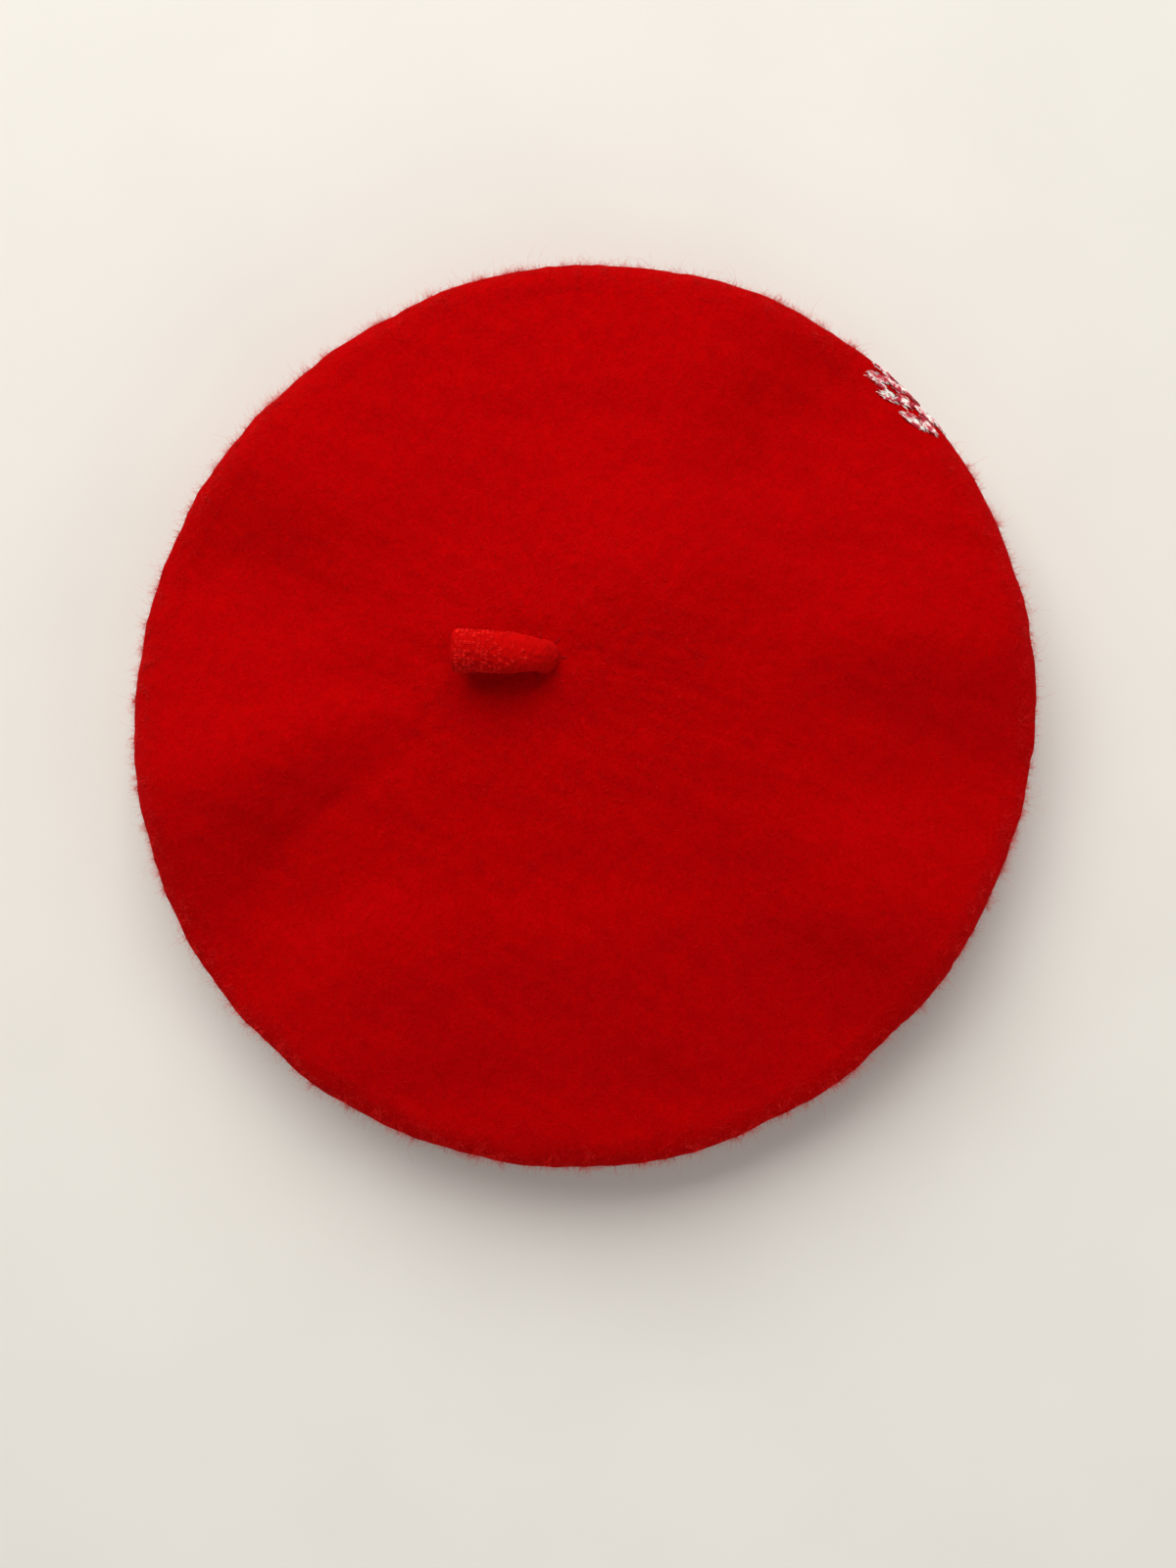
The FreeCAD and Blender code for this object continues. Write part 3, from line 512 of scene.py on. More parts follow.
def felt(u, v):
    """Outer face of the felt. u is the azimuth; v runs 0 to 1 from the stalk's root to the roll, to 2 round
    the roll, to 3 along the underside and to 4 down the collar to just above the hem."""
    u, v = np.broadcast_arrays(np.asarray(u, float), np.asarray(v, float))
    ring = np.stack([np.cos(u), np.sin(u)], -1)
    size, way = OVAL
    stretch = size / CROWN_RADIUS * np.cos(2 * (u - way))
    # crown
    t = np.clip(v, 0, 1)
    flat = ROOT + t[..., None] * (ROLL_TOP_R * ring - ROOT)
    crown_r = np.linalg.norm(flat, axis=-1)
    crown_z = CROWN_HEIGHT - DOME + np.sqrt(DOME**2 - np.minimum(crown_r, CROWN_RADIUS) ** 2)
    rise = folds(flat[..., 0], flat[..., 1])
    crown_spread = 1 + stretch * (crown_r / ROLL_TOP_R) ** 2 * t
    # the rest
    r, z, a = section(v)
    rest_rise = rise * np.maximum(np.sin(a), 0) / math.sin(ROLL_UP)
    rest_spread = 1 + stretch * smooth((r - 96) / 30)
    on_crown = v <= 1
    xy = np.where(on_crown[..., None], flat * crown_spread[..., None], (r * rest_spread)[..., None] * ring)
    height = np.where(on_crown, crown_z + rise, z + rest_rise)
    points = np.concatenate([xy, height[..., None]], -1)
    # the roll wanders a little and the underside is slack
    loose = smooth((v - 0.95) / 0.3) * smooth((3.05 - v) / 0.5)
    outward = np.stack([np.cos(u) * np.cos(a), np.sin(u) * np.cos(a), np.sin(a)], -1)
    slack = uneven(points, SLACK) * smooth((v - 1.75) / 0.4)
    points = points + outward * (loose * (uneven(points, WANDER) + slack))[..., None]
    # the underside puckers towards the collar
    puckered = smooth((v - 2.35) / 0.5) * smooth((3.3 - v) / 0.4)
    points[..., 2] += PUCKER_HEIGHT * np.sin(PUCKERS * u + 1.5 * np.sin(3 * u)) * puckered
    # the felt is lumpy down to the collar
    lumps = uneven(points, LUMPS) * smooth((3.2 - v) / 0.4)
    return points + outward_or_up(outward, v) * lumps[..., None]


def outward_or_up(outward, v):
    """Straight up on the crown, turning to the roll's own outward way on the roll."""
    share = smooth((v - 0.9) / 0.2)[..., None]
    return unit(outward * share + UP * (1 - share))


def felt_normal(u, v):
    """Outward normal of the felt's outer face, by differences."""
    step = 2e-3
    v = np.maximum(v, 4 * step)
    du = felt(u + step, v) - felt(u - step, v)
    dv = felt(u, v + step) - felt(u, v - step)
    return unit(np.cross(dv, du))


AROUND = 384
ROWS = (90, 42, 20, 14)  # of vertices, on the crown, the roll, the underside and the collar
V_STEPS = np.concatenate([part + np.linspace(0, 1, rows + 1)[1:] for part, rows in enumerate(ROWS)])
U_STEPS = np.arange(AROUND) / AROUND * TAU
INNER_EVERY = 3  # the inner face, which the lining hides, has fewer rows
COLLAR_WALL = 3.6  # from this v on, the inner face is the collar's even wall


def hem_row(centre_r, angle):
    r = centre_r + HEM_ROUND * math.cos(angle)
    z = HEM_ROUND + HEM_ROUND * math.sin(angle)
    return np.stack([r * np.cos(U_STEPS), r * np.sin(U_STEPS), np.full(AROUND, z)], -1)


def felt_shell():
    """Closed shell: outer face, rounded hem, inner face, with a vertex at each pole."""
    outer = felt(U_STEPS[None, :], V_STEPS[:, None])
    quarter = math.pi / 2
    hem = [hem_row(OPENING + FELT - HEM_ROUND, angle) for angle in np.linspace(0, -quarter, 5)[1:]]
    hem += [hem_row(OPENING + HEM_ROUND, angle) for angle in np.linspace(-quarter, -math.pi, 5)[:-1]]
    inner_steps = V_STEPS[::-1][::INNER_EVERY]
    inner = felt(U_STEPS[None, :], inner_steps[:, None])
    wall = inner_steps > COLLAR_WALL
    heights = inner[wall][:, :, 2]
    inner -= FELT * felt_normal(U_STEPS[None, :], inner_steps[:, None])
    inner[wall, :, :2] = OPENING * np.stack([np.cos(U_STEPS), np.sin(U_STEPS)], -1)
    inner[wall, :, 2] = heights
    rows = np.concatenate([outer, np.array(hem), inner])
    points = rows.reshape(-1, 3)
    poles = np.array([felt(0.0, 0.0), felt(0.0, 0.0) - [0, 0, FELT]])
    faces = grid_faces(len(rows), AROUND, flip=True)
    first = np.arange(AROUND)
    last = first + (len(rows) - 1) * AROUND
    faces += fan(len(points), first) + fan(len(points) + 1, last, flip=True)
    return np.concatenate([points, poles]), faces


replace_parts(piece("crown_felt", *felt_shell(), "beret", "red_felt", RED_FELT), "felt_crown")


# ---- fibres
TUFT_WIDTH = 0.9
MOTIF_REACH = math.radians(7.6)  # how far from its middle the embroidery presses the nap down
ROLL_LENGTH = 33  # mm of felt for one unit of v on the roll, about


def hairs(roots, normals, seed, length, lean, radius, curl):
    """Curved, tapering, closed fibres with three sides. Length and radius are (low, high) in mm."""
    rng = np.random.default_rng(seed)
    count, rings, sides = len(roots), 4, 3
    side = unit(np.cross(normals, rng.normal(size=(count, 3))))
    way = unit(normals * (1 - lean) + side * lean)
    bend = unit(np.cross(way, rng.normal(size=(count, 3))))
    long = rng.uniform(*length, count)
    thick = rng.uniform(*radius, count)
    points = np.zeros((count, rings, sides, 3))
    across = unit(np.cross(way, bend))
    for k in range(rings):
        s = k / (rings - 1)
        middle = roots + way * (long * s)[:, None] + bend * (curl * long * s * s)[:, None]
        middle = middle + across * (curl * 0.5 * long * math.sin(4.2 * s))[:, None] * s
        for c in range(sides):
            a = TAU * c / sides
            spoke = bend * math.cos(a) + across * math.sin(a)
            points[:, k, c] = middle + spoke * (thick * (1 - 0.65 * s))[:, None]
    base = np.arange(count)[:, None] * rings * sides
    quads = [base + quad for quad in grid_faces(rings, sides)]
    foot, tip = np.arange(sides)[::-1], np.arange(sides) + (rings - 1) * sides
    faces = np.concatenate(quads).tolist() + (base + foot).tolist() + (base + tip).tolist()
    return points.reshape(-1, 3), faces


def nap(name, count, seed, v_range, spread, mat, tufts=0, **shape):
    """Makes a piece of fibres on the felt; spread is the power that evens them over the area. With tufts,
    two thirds of the fibres gather in that many clumps."""
    rng = np.random.default_rng(seed)
    u = rng.uniform(0, TAU, count)
    v = v_range[0] + (v_range[1] - v_range[0]) * rng.uniform(0, 1, count) ** spread
    if tufts:
        chosen = rng.integers(0, tufts, count * 2 // 3)
        u[: len(chosen)] = u[-tufts:][chosen] + rng.normal(0, TUFT_WIDTH / CROWN_RADIUS, len(chosen))
        v[: len(chosen)] = v[-tufts:][chosen] + rng.normal(0, TUFT_WIDTH / ROLL_LENGTH, len(chosen))
    over_motif = (np.abs((u - MOTIF_AZIMUTH + math.pi) % TAU - math.pi) < MOTIF_REACH) & (v > 1.05)
    u, v = u[~over_motif], v[~over_motif]
    normal = felt_normal(u, v)
    roots = felt(u, v) - 0.1 * normal
    piece(name, *hairs(roots, normal, seed + 1, **shape), "beret", "red_felt", mat)


for part in range(2):
    nap("nap_edge_%d" % (part + 1), 9500, 21 + 30 * part, (1.12, 1.88), 1.0, EDGE_NAP_PAINTED_HIGHLIGHT, tufts=420,
        length=(0.9, 3.0), lean=0.42, radius=(0.028, 0.05), curl=0.7)
nap("nap_rim", 9000, 25, (1.0, 2.0), 1.0, NAP_PAINTED_LIGHT, length=(0.7, 1.5), lean=0.85, radius=(0.03, 0.06), curl=0.5)
nap("nap_loose", 900, 27, (1.25, 1.75), 1.0, EDGE_NAP_PAINTED_HIGHLIGHT, length=(2.4, 5.5), lean=0.45, radius=(0.03, 0.045),
    curl=1.1)
for part in range(3):
    nap("nap_crown_%d" % (part + 1), 9000, 31 + 2 * part, (0.05, 1.15), 0.55, NAP_PAINTED_LIGHT, length=(1.2, 3.6),
        lean=0.93, radius=(0.025, 0.06), curl=0.6)
nap("nap_root", 2600, 39, (0.045, 0.34), 0.6, NAP_PAINTED_LIGHT, length=(0.7, 2.0), lean=0.8, radius=(0.06, 0.11), curl=0.7)
nap("nap_under", 6000, 41, (1.95, 3.1), 1.0, NAP_PAINTED_LIGHT, length=(0.8, 2.2), lean=0.85, radius=(0.03, 0.05), curl=0.5)


# ---- yarns and threads
STRAND_SIDES = 5


def strand(path, radius, taper=0.35):
    """One closed thread along a path of points, thinner towards its ends by taper."""
    ways = unit(np.gradient(path, axis=0))
    side = unit(np.cross(ways, [0.31, 0.17, 0.93]))
    other = np.cross(ways, side)
    share = np.linspace(-1, 1, len(path))
    radii = radius * (1 - (1 - taper) * np.abs(share) ** 4)
    a = np.arange(STRAND_SIDES) / STRAND_SIDES * TAU
    ring = side[:, None] * np.cos(a)[None, :, None] + other[:, None] * np.sin(a)[None, :, None]
    points = (path[:, None] + ring * radii[:, None, None]).reshape(-1, 3)
    first_ring = list(range(STRAND_SIDES))
    last_ring = [len(points) - STRAND_SIDES + k for k in first_ring]
    return points, grid_faces(len(path), STRAND_SIDES) + [first_ring[::-1], last_ring]


def bundle(strands):
    """Joins many strands into one list of points and faces."""
    points, faces, start = [], [], 0
    for p, f in strands:
        points.append(p)
        faces += [[i + start for i in face] for face in f]
        start += len(p)
    return np.concatenate(points), faces


# ---- the stalk
def tube(path, radii, around, relief=0.0, flat=1.0):
    """Rings of points round a smooth path; relief moves them outwards, flat squeezes them upright."""
    ways = unit(np.gradient(path, axis=0))
    sideways = unit(np.cross(ways, UP))
    upward = np.cross(sideways, ways)
    a = np.arange(around) / around * TAU
    radii = np.asarray(radii)[:, None] + relief
    across = sideways[:, None] * (np.cos(a)[None, :] * radii)[..., None]
    above = upward[:, None] * (np.sin(a)[None, :] * radii * flat)[..., None]
    return path[:, None] + across + above


STALK_FLAT = np.cross(UP, HINGE_AXIS)  # the level way in which the stalk lies
STALK_HEADING = math.atan2(STALK_FLAT[1], STALK_FLAT[0])
STALK_WAY = STALK_FLAT * math.cos(STALK_TILT) + UP * math.sin(STALK_TILT)
ROOT_DROP = 0.4  # from the top of the dome down to the felt's face at the root
STALK_SUNK = 2.4  # how much of the stalk is below that face
STALK_BEND = 5.7  # radius of the turn from the root to the lying tube
STALK_ARCH = math.radians(8)  # how much the lying tube rises before its middle and drops after it
STALK_SAG = math.radians(9)  # how much lower than the CAD stalk it lies
STALK_SQUEEZE = 0.92  # the tube is a little flat
STALK_WALL = 3.0
# The open end, from outside to inside: how far each ring is inset, and how far it stands out
STALK_LIP = ((0.5, 0.55), (1.2, 0.75), (2.0, 0.7), (2.8, 0.1))
STALK_FUZZ = ((0.10, 2.2, 31), (0.16, 6.5, 32), (0.18, 15, 33))
WALES, COURSE = 32, 1.2  # loops round the tube, and the length of one loop
KNIT_SHOWS = 21  # mm from the free end over which the loops thin out
YARN = 0.17  # radius of the loops' yarn
TACKS = 7
TACK_FROM, TACK_TO = 4.8, 7.4  # mm from the middle of the root


def stalk_line(rows):
    """Middle line of the stalk: up out of the felt, round its bend, then over a low arch to the free end."""
    first = STALK_TILT - STALK_SAG + STALK_ARCH  # tilt where the bend ends
    turn = math.pi / 2 - first
    foot = np.array([*ROOT, CROWN_HEIGHT - ROOT_DROP])
    bend_end = (STALK_FLAT * (1 - math.cos(turn)) + UP * math.sin(turn)) * STALK_BEND
    beyond = np.dot(HINGE + STALK_WAY * STALK_LENGTH - foot - bend_end, STALK_FLAT) / math.cos(STALK_TILT)
    lying = STALK_SUNK + STALK_BEND * turn  # length before the lying tube
    along = np.linspace(0, lying + beyond, rows)
    tilt = math.pi / 2 - np.clip((along - STALK_SUNK) / STALK_BEND, 0, turn)
    tilt = tilt - 2 * STALK_ARCH * np.clip((along - lying) / beyond, 0, 1)
    ways = STALK_FLAT * np.cos(tilt)[:, None] + UP * np.sin(tilt)[:, None]
    steps = ways * (along[1] - along[0])
    path = foot - UP * STALK_SUNK + np.concatenate([np.zeros((1, 3)), np.cumsum(steps[:-1], axis=0)])
    return path, along


def stalk_radii(along, total):
    """Half width of the stalk: a foot that spreads into the felt, a narrow bend and a flared free end."""
    narrow, wider, flared, spread = 4.3, 1.6, 0.35, 1.1
    widening = wider * smooth((along - 3) / 13)
    flare = flared * smooth((along - total + 7) / 7)
    foot = spread * np.exp(-np.maximum(along - 2.2, 0) / 1.3)
    return narrow + widening + flare + foot


def fold_at_root(made):
    """Bakes the placement of a piece of the stalk into its mesh; the piece is put on no body."""
    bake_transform(made)


def stalk_piece():
    """Knitted tube, felted smooth at its root and open where it flares."""
    rows, around = 180, 240
    line, along = stalk_line(rows)
    total = along[-1]
    radii = stalk_radii(along, total)
    a = np.arange(around) / around * TAU
    wale = (a * WALES / TAU)[None, :]
    leg = np.abs(wale % 1 - 0.5) * 2
    step = (along / COURSE)[:, None] + 0.5 * leg
    loop = (1 - (2 * (step % 1) - 1) ** 2) * (1 - (2 * leg - 1) ** 2)
    shows = 0.05 + 0.20 * smooth((along - total + 20) / 18)
    plain = tube(line, radii, around)
    relief = (shows[:, None] * (loop - 0.4) + uneven(plain, STALK_FUZZ)) * smooth(along / 5)[:, None]
    outer = tube(line, radii, around, relief, flat=STALK_SQUEEZE)
    scallop = 0.30 * np.abs(np.sin(a * WALES / 2)) + 0.25 * ripple(outer[-1], 5, 34)
    outer[-1] += STALK_WAY * scallop[:, None]
    rim = []
    for inset, forward in STALK_LIP:
        ring = tube(line[-2:], [radii[-2] - inset, radii[-1] - inset], around, flat=STALK_SQUEEZE)[1]
        rim.append(ring + STALK_WAY * (forward + scallop * max(0.0, 1 - inset / 2))[:, None])
    hollow = slice(-3, -27, -3)  # every third ring, inwards from the free end
    inner = tube(line[hollow], radii[hollow] - STALK_WALL, around, flat=STALK_SQUEEZE)
    rings = np.concatenate([outer, np.array(rim), inner])
    points = rings.reshape(-1, 3)
    caps = np.array([line[0], inner[-1].mean(axis=0)])
    faces = grid_faces(len(rings), around)
    first = np.arange(around)
    faces += fan(len(points), first, flip=True)
    faces += fan(len(points) + 1, first + (len(rings) - 1) * around)
    made = piece("stalk_knit", np.concatenate([points, caps]), faces, None, "stalk_felt", STALK_FELT)
    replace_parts(made, "stalk")
    fold_at_root(made)
    return outer, along


STALK_OUTER, STALK_ALONG = stalk_piece()


def stalk_loops():
    """Yarn of the knitting where it isn't felted over: slanted legs of loops, thinning out to the root."""
    rng = np.random.default_rng(43)
    total = STALK_ALONG[-1]
    rows, around = STALK_OUTER.shape[:2]
    middle = STALK_OUTER.mean(axis=1)
    legs = []
    for course in range(int(KNIT_SHOWS / COURSE)):
        for wale in range(WALES):
            fade = course * COURSE / KNIT_SHOWS
            if rng.uniform() < 0.25 + 0.75 * fade:
                continue
            for side in (-1, 1):
                share = np.linspace(0, 1, 6)
                at = total - (course + 0.15 + rng.uniform(-0.1, 0.1) + 0.85 * share) * COURSE
                turn = (wale + 0.5 + side * (0.36 - 0.28 * share) + rng.uniform(-0.05, 0.05)) / WALES
                row = np.clip(np.interp(at, STALK_ALONG, np.arange(rows)), 0, rows - 1).astype(int)
                spot = STALK_OUTER[row, (turn * around).astype(int) % around]
                out = unit(spot - middle[row])
                lift = (0.15 * np.sin(share * math.pi) - 0.09) * (1 - 0.5 * fade)
                legs.append(strand(spot + out * lift[:, None], YARN * rng.uniform(0.7, 1.2), taper=0.5))
    fold_at_root(piece("stalk_loops", *bundle(legs), None, "stalk_felt", LOOP_YARN_PAINTED_HIGHLIGHT))


def stalk_nap():
    """Short fibres on the stalk, beyond its bend."""
    rng = np.random.default_rng(45)
    rows, around = STALK_OUTER.shape[:2]
    first_row, count = 80, 2600
    i, j = rng.integers(first_row, rows - 1, count), rng.integers(0, around, count)
    roots = STALK_OUTER[i, j]
    normals = unit(roots - STALK_OUTER[i].mean(axis=1))
    fibres = hairs(roots - 0.1 * normals, normals, 46, length=(0.5, 1.6), lean=0.75, radius=(0.02, 0.04),
                   curl=0.5)
    fold_at_root(piece("stalk_nap", *fibres, None, "stalk_felt", NAP_PAINTED_LIGHT))


def stalk_tacks():
    """Short stitches that hold the foot of the stalk, laid on the folded felt round it."""
    tacks = []
    for k in range(TACKS):
        a = STALK_HEADING + TAU * (k + 0.5) / TACKS
        way = np.array([math.cos(a), math.sin(a)])
        inward = ROOT @ way
        reach = math.sqrt(inward**2 + ROLL_TOP_R**2 - ROOT @ ROOT) - inward  # from root to roll this way
        rim = ROOT + reach * way
        share = np.linspace(0, 1, 8)
        u, v = math.atan2(rim[1], rim[0]), (TACK_FROM + (TACK_TO - TACK_FROM) * share) / reach
        lift = 0.30 * np.sin(share * math.pi) - 0.12
        tacks.append(strand(felt(u, v) + felt_normal(u, v) * lift[:, None], 0.2, taper=0.7))
    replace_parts(piece("stalk_tack_threads", *bundle(tacks), "beret", "red_thread", RED_THREAD),
                "stalk_tack_stitches")


stalk_loops()
stalk_nap()
stalk_tacks()


# ---- the embroidered motif on the rim
MOTIF_ROWS = ((58.0, 2), (44.0, 3), (30.0, 2), (16.0, 3), (2.0, 2), (-12.0, 3), (-26.0, 2))
BAR_LENGTH = 10.4
BAR_WIDTH = 2.3
BAR_PITCH = math.radians(4.7)
BAR_SLANT = math.radians(13)
BAR_THREADS = 13
OUTLINE_STITCHES, OUTLINE_GAPS = 24, 0.45  # round a bar, and the share that is left out
FILL_THREADS, FILL_REACH, FILL_DARK = 46, 13, 0.3  # between two rows: count, mm along, dark share


def on_rim(along, up, lift):
    """A point on the rim: mm round it from the motif's middle, mm up the roll from its outermost circle."""
    u = MOTIF_AZIMUTH - np.asarray(along) / CROWN_RADIUS
    a = np.asarray(up) / ROLL
    v = 1 + (a - ROLL_UP) / (ROLL_DOWN - ROLL_UP)
    return felt(u, v) + felt_normal(u, v) * np.asarray(lift)[..., None]


def bars():
    """Middle of each bar: mm along the rim and mm up the roll, in rows laid like bricks."""
    for middle, count in MOTIF_ROWS:
        for i in range(count):
            along = (i - (count - 1) / 2) * BAR_PITCH * CROWN_RADIUS
            yield along, math.radians(middle) * ROLL


def bar_point(along, up, x, y, lift):
    """From a bar's own x and y to the rim, turned by the bars' slant."""
    c, s = math.cos(BAR_SLANT), math.sin(BAR_SLANT)
    return on_rim(along + x * c + y * s, up - x * s + y * c, lift)


def motif():
    """Rows of satin-stitched bars of uneven length with thin dark outlines, and fill threads between them."""
    rng = np.random.default_rng(51)
    pale, dark = [], []
    for along, up in bars():
        along += rng.uniform(-1.6, 1.6)
        up += rng.uniform(-0.25, 0.25)
        half = BAR_LENGTH / 2 * rng.uniform(0.6, 1.08)
        for k in range(BAR_THREADS):
            y = (k / (BAR_THREADS - 1) - 0.5) * BAR_WIDTH
            reach = half * (1 - 0.6 * abs(2 * y / BAR_WIDTH) ** 3)
            start, end = -reach + rng.uniform(-0.9, 0.9), reach + rng.uniform(-0.9, 0.9)
            x = np.linspace(start, end, 11)
            share = np.linspace(-1, 1, 11)
            lift = 0.38 * (1 - share**4) + 0.12 * rng.uniform(0, 1) - 0.05
            wave = y + 0.16 * np.sin(share * 3 + rng.uniform(0, TAU))
            pale.append(strand(bar_point(along, up, x, wave, lift), rng.uniform(0.10, 0.15)))
        for k in range(OUTLINE_STITCHES):
            if rng.uniform() < OUTLINE_GAPS:
                continue
            a = TAU / OUTLINE_STITCHES * (k + np.linspace(-0.6, 0.9, 5))
            out = 1 + 0.2 * np.linspace(-0.5, 0.5, 5) + rng.uniform(-0.07, 0.05)
            x = (half + 0.1) * np.cos(a) * (1 + (out - 1) * 0.3)
            y = (BAR_WIDTH / 2 + 0.12) * np.sin(a) * out
            lift = np.array([0.05, 0.26, 0.36, 0.26, 0.05])
            dark.append(strand(bar_point(along, up, x, y, lift), rng.uniform(0.07, 0.13)))
    for row, (middle, _) in enumerate(MOTIF_ROWS[1:]):
        up = math.radians((middle + MOTIF_ROWS[row][0]) / 2) * ROLL
        for _ in range(FILL_THREADS):
            at = rng.uniform(-FILL_REACH, FILL_REACH)
            x = np.linspace(-1, 1, 7) * rng.uniform(1.2, 2.4)
            y = rng.uniform(-0.9, 0.9) + 0.1 * np.sin(x)
            lift = 0.20 * (1 - (x / x.max()) ** 4)
            fill = dark if rng.uniform() < FILL_DARK else pale
            fill.append(strand(bar_point(at, up, x, y, lift), rng.uniform(0.09, 0.13)))
    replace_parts(piece("motif_satin_threads", *bundle(pale), "beret", "motif_pale_thread", MOTIF_PALE),
                "rim_motif_bars")
    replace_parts(piece("motif_stem_stitch", *bundle(dark), "beret", "motif_dark_thread", MOTIF_DARK),
                "rim_motif_outline")


motif()


# ---- the lining
LINING = 0.4
FLANGE = 4.0  # seam allowance, outside the seam
(_, _, SEAM_Z), (TIP_EDGE, _, TIP_FACE) = box_mm("lining_tip")
LINING_R = TIP_EDGE - FLANGE
TIP_TOP = TIP_FACE - LINING
TIP_WRINKLES = ((0.7, 34, 61), (0.35, 11, 62))
TIP_DROP = 1.1  # how far the wrinkled satin hangs down, clear of the felt
GATHERS, GATHER_HEIGHT = 61, 0.35


def turned(r, z, around):
    """Grid of points: a line given by its radii and heights, turned round the axis, and the azimuths."""
    u = np.arange(around) / around * TAU
    grid = np.stack([r[:, None] * np.cos(u), r[:, None] * np.sin(u), np.repeat(z[:, None], around, 1)], -1)
    return grid, u


def closed_sheet(rows, thickness):
    """Closed cloth from a grid of rows round the axis, thickened along +Z and outwards at its edges."""
    d_row = np.gradient(rows, axis=0)
    d_col = np.roll(rows, -1, axis=1) - np.roll(rows, 1, axis=1)
    upper = rows + unit(np.cross(d_row, d_col)) * thickness
    count, around, _ = rows.shape
    points = np.concatenate([rows.reshape(-1, 3), upper.reshape(-1, 3)])
    base = count * around
    faces = grid_faces(count, around) + grid_faces(count, around, start=base, flip=True)
    for edge, way in ((0, 1), (count - 1, -1)):
        a = np.arange(around) + edge * around
        b = np.roll(a, -1)
        faces += np.stack([a, b, b + base, a + base], -1)[:, ::way].tolist()
    return points, faces


def lining_tip():
    """Satin disc under the crown with a few soft wrinkles and a tiny hole in its middle, under the label."""
    hole, rows = 0.6, 70
    flange = [LINING_R + 1.3, LINING_R + 2.6, LINING_R + FLANGE]
    r = np.concatenate([np.linspace(hole, LINING_R, rows), flange])
    sag = TIP_TOP - SEAM_Z
    dome = (LINING_R**2 + sag**2) / (2 * sag)
    z = np.where(r <= LINING_R, TIP_TOP - dome + np.sqrt(dome**2 - np.minimum(r, LINING_R) ** 2), SEAM_Z)
    grid, u = turned(r, z, 240)
    inside = CROWN_HEIGHT - DOME + np.sqrt(DOME**2 - r**2) - FELT
    room = inside - z - LINING - 1.0  # between the lining and the felt where it isn't folded
    sunk = np.minimum(folds(grid[..., 0], grid[..., 1]) + room[:, None], 0)
    grid[..., 2] += sunk * smooth((LINING_R - r) / 6)[:, None]
    soft = smooth((r - 32) / 30) * smooth((LINING_R - r) / 8)
    grid[..., 2] += soft[:, None] * (uneven(grid, TIP_WRINKLES) - TIP_DROP)
    gather = np.sin(GATHERS * u + 2 * np.sin(5 * u))[None, :] * smooth((r - 104) / 22)[:, None]
    grid[..., 2] += GATHER_HEIGHT * gather * smooth((LINING_R + 2 - r) / 5)[:, None]
    made = piece("lining_tip_satin", *closed_sheet(grid, LINING), "beret", "lining_satin", SATIN)
    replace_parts(made, "lining_tip")


def lining_side():
    """Satin from the seam down over the collar, gathered where it goes behind the sweatband."""
    gap = 0.2  # from the felt
    turn = COLLAR_TURN + FELT + gap + LINING
    seam = np.array([LINING_R, ROLL_HEIGHT])
    centre = np.array([COLLAR_R, COLLAR_HEIGHT])
    reach = seam - centre
    touch = math.atan2(reach[1], reach[0]) + math.acos(turn / np.linalg.norm(reach))
    section = [seam + [FLANGE, 0.0], seam + [FLANGE / 2, 0.0], seam]
    start = centre + turn * np.array([math.cos(touch), math.sin(touch)])
    section += [seam + (start - seam) * t for t in np.linspace(0, 1, 24)[1:]]
    section += [centre + turn * np.array([math.cos(b), math.sin(b)])
                for b in np.linspace(touch, math.pi, 18)[1:]]
    section += [np.array([COLLAR_R - turn, z]) for z in np.linspace(COLLAR_HEIGHT, 1.0, 7)[1:]]
    r, z = np.array(section).T
    grid, u = turned(r, z, 360)
    loose = smooth((LINING_R - r) / 10) * smooth((r - 95) / 12)
    fold = 0.8 * np.sin(47 * u + 2.2 * np.sin(4 * u))[None, :] + 0.5 * ripple(grid, 22, 71)
    grid[..., 2] += loose[:, None] * (fold + 0.9)
    made = piece("lining_underside_satin", *closed_sheet(grid[::-1], LINING), "beret", "lining_satin", SATIN)
    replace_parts(made, "lining_underside")


lining_side()
lining_tip()


# ---- label and tag
def patch(width, length, thickness, shape, columns, row_places, corner=0.8):
    """A closed woven patch with rounded corners; shape gives its middle surface from x and y in mm.
    The places of its rows run from -1 to 1."""
    x, y = np.meshgrid(np.linspace(-1, 1, columns), row_places)
    rows = len(row_places)
    px, py = x * width / 2, y * length / 2
    over_x, over_y = np.abs(px) - (width / 2 - corner), np.abs(py) - (length / 2 - corner)
    cut = np.maximum(np.hypot(np.maximum(over_x, 0), np.maximum(over_y, 0)) - corner, 0)
    diagonal = 0.7  # share of a cut along each side, at a corner
    px -= np.sign(px) * cut * diagonal
    py -= np.sign(py) * cut * diagonal
    middle = shape(px, py)
    dx, dy = np.gradient(middle, axis=1), np.gradient(middle, axis=0)
    normal = unit(np.cross(dx, dy))
    edge = 1 - 0.55 * smooth((np.maximum(np.abs(x), np.abs(y)) - 0.97) / 0.03)
    half = normal * (thickness / 2 * edge)[..., None]
    points = np.concatenate([(middle + half).reshape(-1, 3), (middle - half).reshape(-1, 3)])
    base = rows * columns
    faces = []
    for i in range(rows - 1):
        for k in range(i * columns, (i + 1) * columns - 1):
            quad = np.array([k, k + 1, k + 1 + columns, k + columns])
            faces += [quad.tolist(), (quad[::-1] + base).tolist()]
    ring = list(range(columns)) + [i * columns + columns - 1 for i in range(1, rows)]
    ring += [(rows - 1) * columns + j for j in range(columns - 2, -1, -1)]
    ring += [i * columns for i in range(rows - 2, 0, -1)]
    for a, b in zip(ring, ring[1:] + ring[:1]):
        faces.append([b, a, a + base, b + base])
    return points, faces


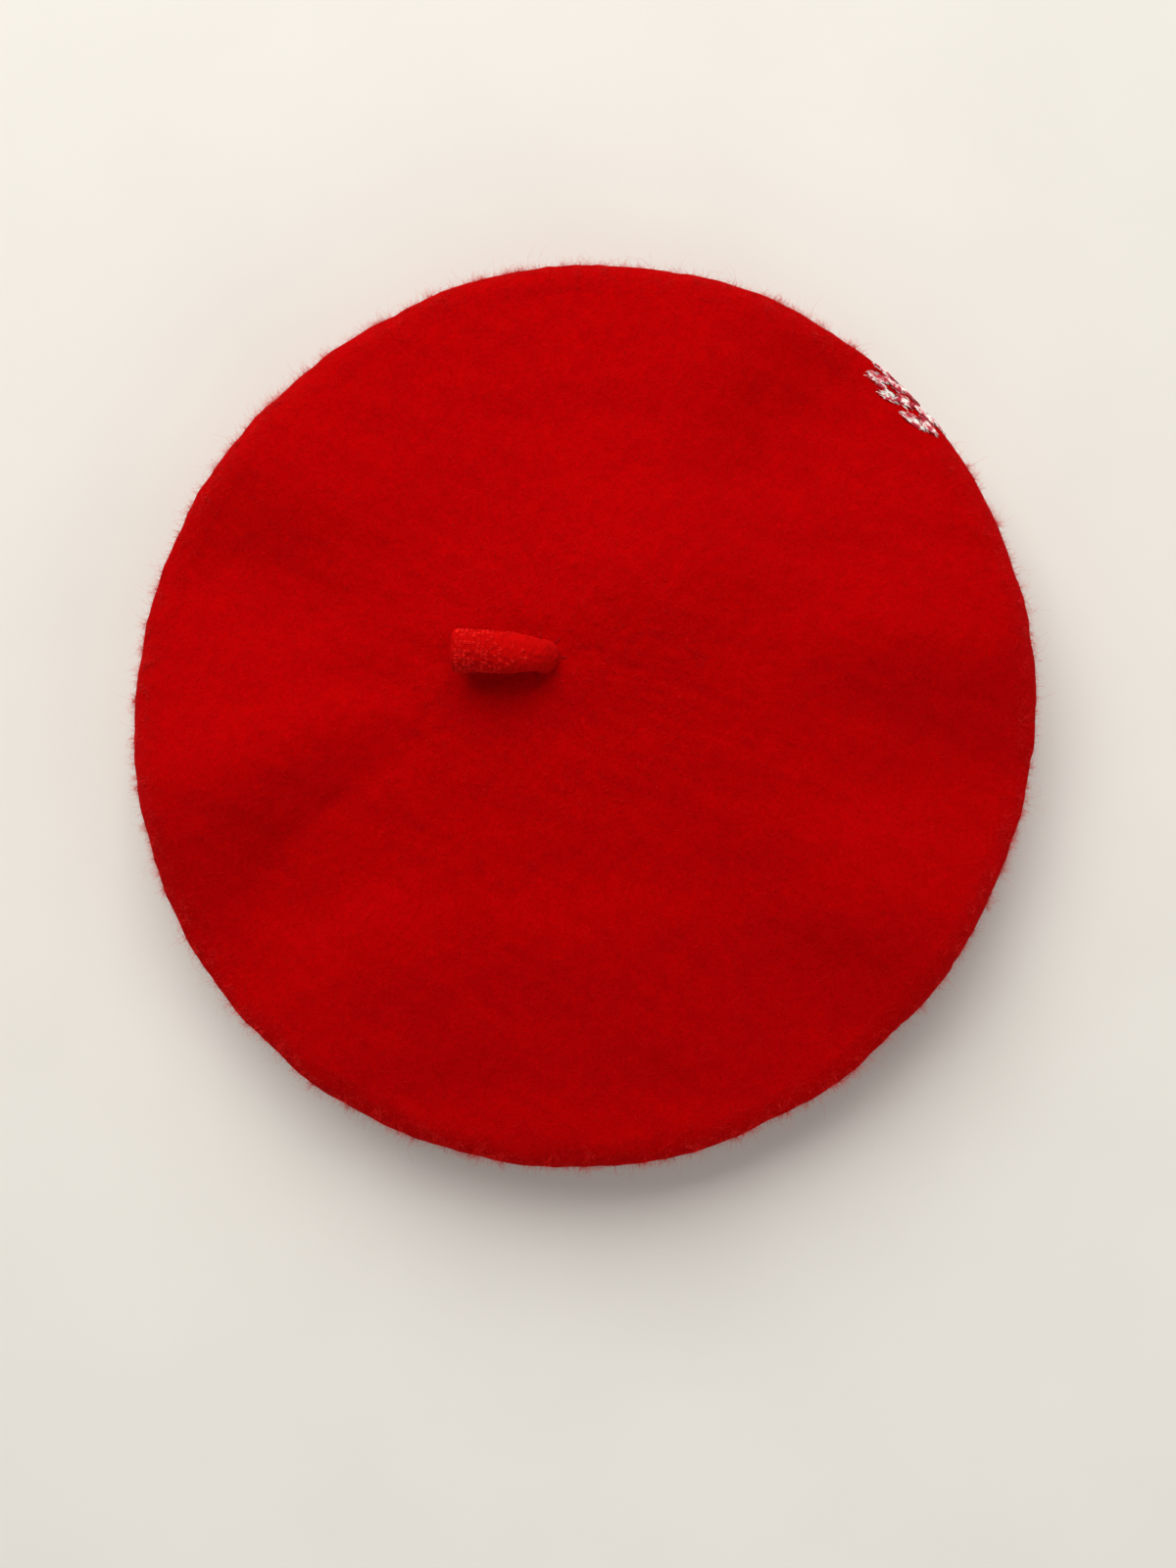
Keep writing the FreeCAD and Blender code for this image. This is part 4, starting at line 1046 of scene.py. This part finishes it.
def label():
    """Blank woven label, a little wavy between its stitches."""
    low, high = box_mm("woven_label")
    width, length, thickness = high - low
    z = (low[2] + high[2]) / 2

    def lie(x, y):
        level = z + 0.06 * np.sin(x * 0.31) * np.cos(y * 0.4) + 0.05 * np.sin(y * 1.3)
        return np.stack([x, y, level], -1)

    cloth = patch(width, length, thickness, lie, 92, np.linspace(-1, 1, 44))
    made = piece("label_woven", *cloth, "beret", "label_tape", LABEL_TAPE)
    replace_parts(made, "woven_label")


def tag():
    """Tape folded double; it stands up behind the band and curls a little at its free fold."""
    out = np.cross(TAG_AXIS, UP)
    up = UP * math.cos(TAG_LEAN) + out * math.sin(TAG_LEAN)
    away = np.cross(TAG_AXIS, up)
    width, leg = 18, 24  # the tape's, each half's
    thickness, bend = 0.28, 0.24  # the tape's, the fold's radius
    half_fold = bend * math.pi / 2

    def lie(x, y):
        turn = np.clip(y, -half_fold, half_fold) / bend
        rise = leg - half_fold - np.maximum(np.abs(y) - half_fold, 0) + bend * np.cos(turn)
        curl = 0.25 * np.sin(x * 0.35) * smooth(rise / leg) + 0.35 * smooth(2 * rise / leg - 1) ** 2
        side = bend * np.sin(turn) + curl
        return TAG_FOOT + x[..., None] * TAG_AXIS + rise[..., None] * up + side[..., None] * away

    fold_share = half_fold / leg
    straight = np.linspace(fold_share, 1, 34)
    row_places = np.concatenate([-straight[::-1], np.linspace(-fold_share, fold_share, 11)[1:-1], straight])
    tape = patch(width, 2 * leg, thickness, lie, 40, row_places, corner=1.4)
    made = piece("care_tag_tape", *tape, "care_tag", "tag_tape", TAG_TAPE)
    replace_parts(made, "care_tag")


label()
tag()


# ---- CAD nodes that keep their shape
DRESSED = {
    "sweatband": LEATHER,
    "sweatband_stitches": SEAM_THREAD,
    "sweatband_join_stitches": SEAM_THREAD,
    "lining_stitches": RED_THREAD,
    "label_stitches": SEAM_THREAD,
}
for node, mat in DRESSED.items():
    materials = frame["nodes"][node].data.materials
    materials.clear()
    materials.append(mat)


# ---- stage, light and camera
LIGHT_TARGET = Vector((0, 0, 0.02))
FLOOR_REACH, FLOOR_Z = 4.0, -0.0002
CAMERA_PLACE = (0.0010, -0.0210, 0.543)
CAMERA_LENS, CAMERA_SENSOR = 38.1, 36  # mm
WORLD_COLOUR, WORLD_STRENGTH = (1.0, 0.985, 0.96, 1), 0.37


def area_light(name, place, width, height, power, colour):
    """A soft lamp that shines on the hat and isn't seen itself."""
    lamp = bpy.data.lights.new(name, "AREA")
    lamp.shape = "RECTANGLE"
    lamp.size, lamp.size_y = width, height
    lamp.energy = power
    lamp.color = colour
    made = in_scene(name, lamp)
    made.location = place
    made.visible_camera = False
    made.rotation_euler = (LIGHT_TARGET - made.location).to_track_quat("-Z", "Y").to_euler()


def floor():
    """A level square, just under the hat."""
    mesh = bpy.data.meshes.new("floor")
    corners = [(x * FLOOR_REACH, y * FLOOR_REACH, FLOOR_Z) for x, y in ((-1, -1), (1, -1), (1, 1), (-1, 1))]
    mesh.from_pydata(corners, [], [(0, 1, 2, 3)])
    made = in_scene("floor", mesh)
    mesh.materials.append(floor_look())


def camera():
    """Straight above, at about half a metre, with the forehead side at the top of the picture."""
    data = bpy.data.cameras.new("camera")
    data.lens, data.sensor_width = CAMERA_LENS, CAMERA_SENSOR
    data.clip_start = 0.01
    made = in_scene("camera", data)
    made.location = CAMERA_PLACE
    bpy.context.scene.camera = made


def world():
    """Even light from all sides, and colours shown as they are."""
    made = bpy.data.worlds.new("studio")
    made.use_nodes = True
    back = made.node_tree.nodes["Background"]
    back.inputs["Color"].default_value = WORLD_COLOUR
    back.inputs["Strength"].default_value = WORLD_STRENGTH
    bpy.context.scene.world = made
    bpy.context.scene.view_settings.view_transform = "Standard"


floor()
camera()
world()
area_light("key", (-0.51, 1.74, 1.62), width=2.6, height=2.05, power=81, colour=(1.0, 0.985, 0.96))
area_light("fill", (1.0, -1.0, 0.45), width=1.2, height=1.2, power=5, colour=(0.98, 0.98, 1.0))
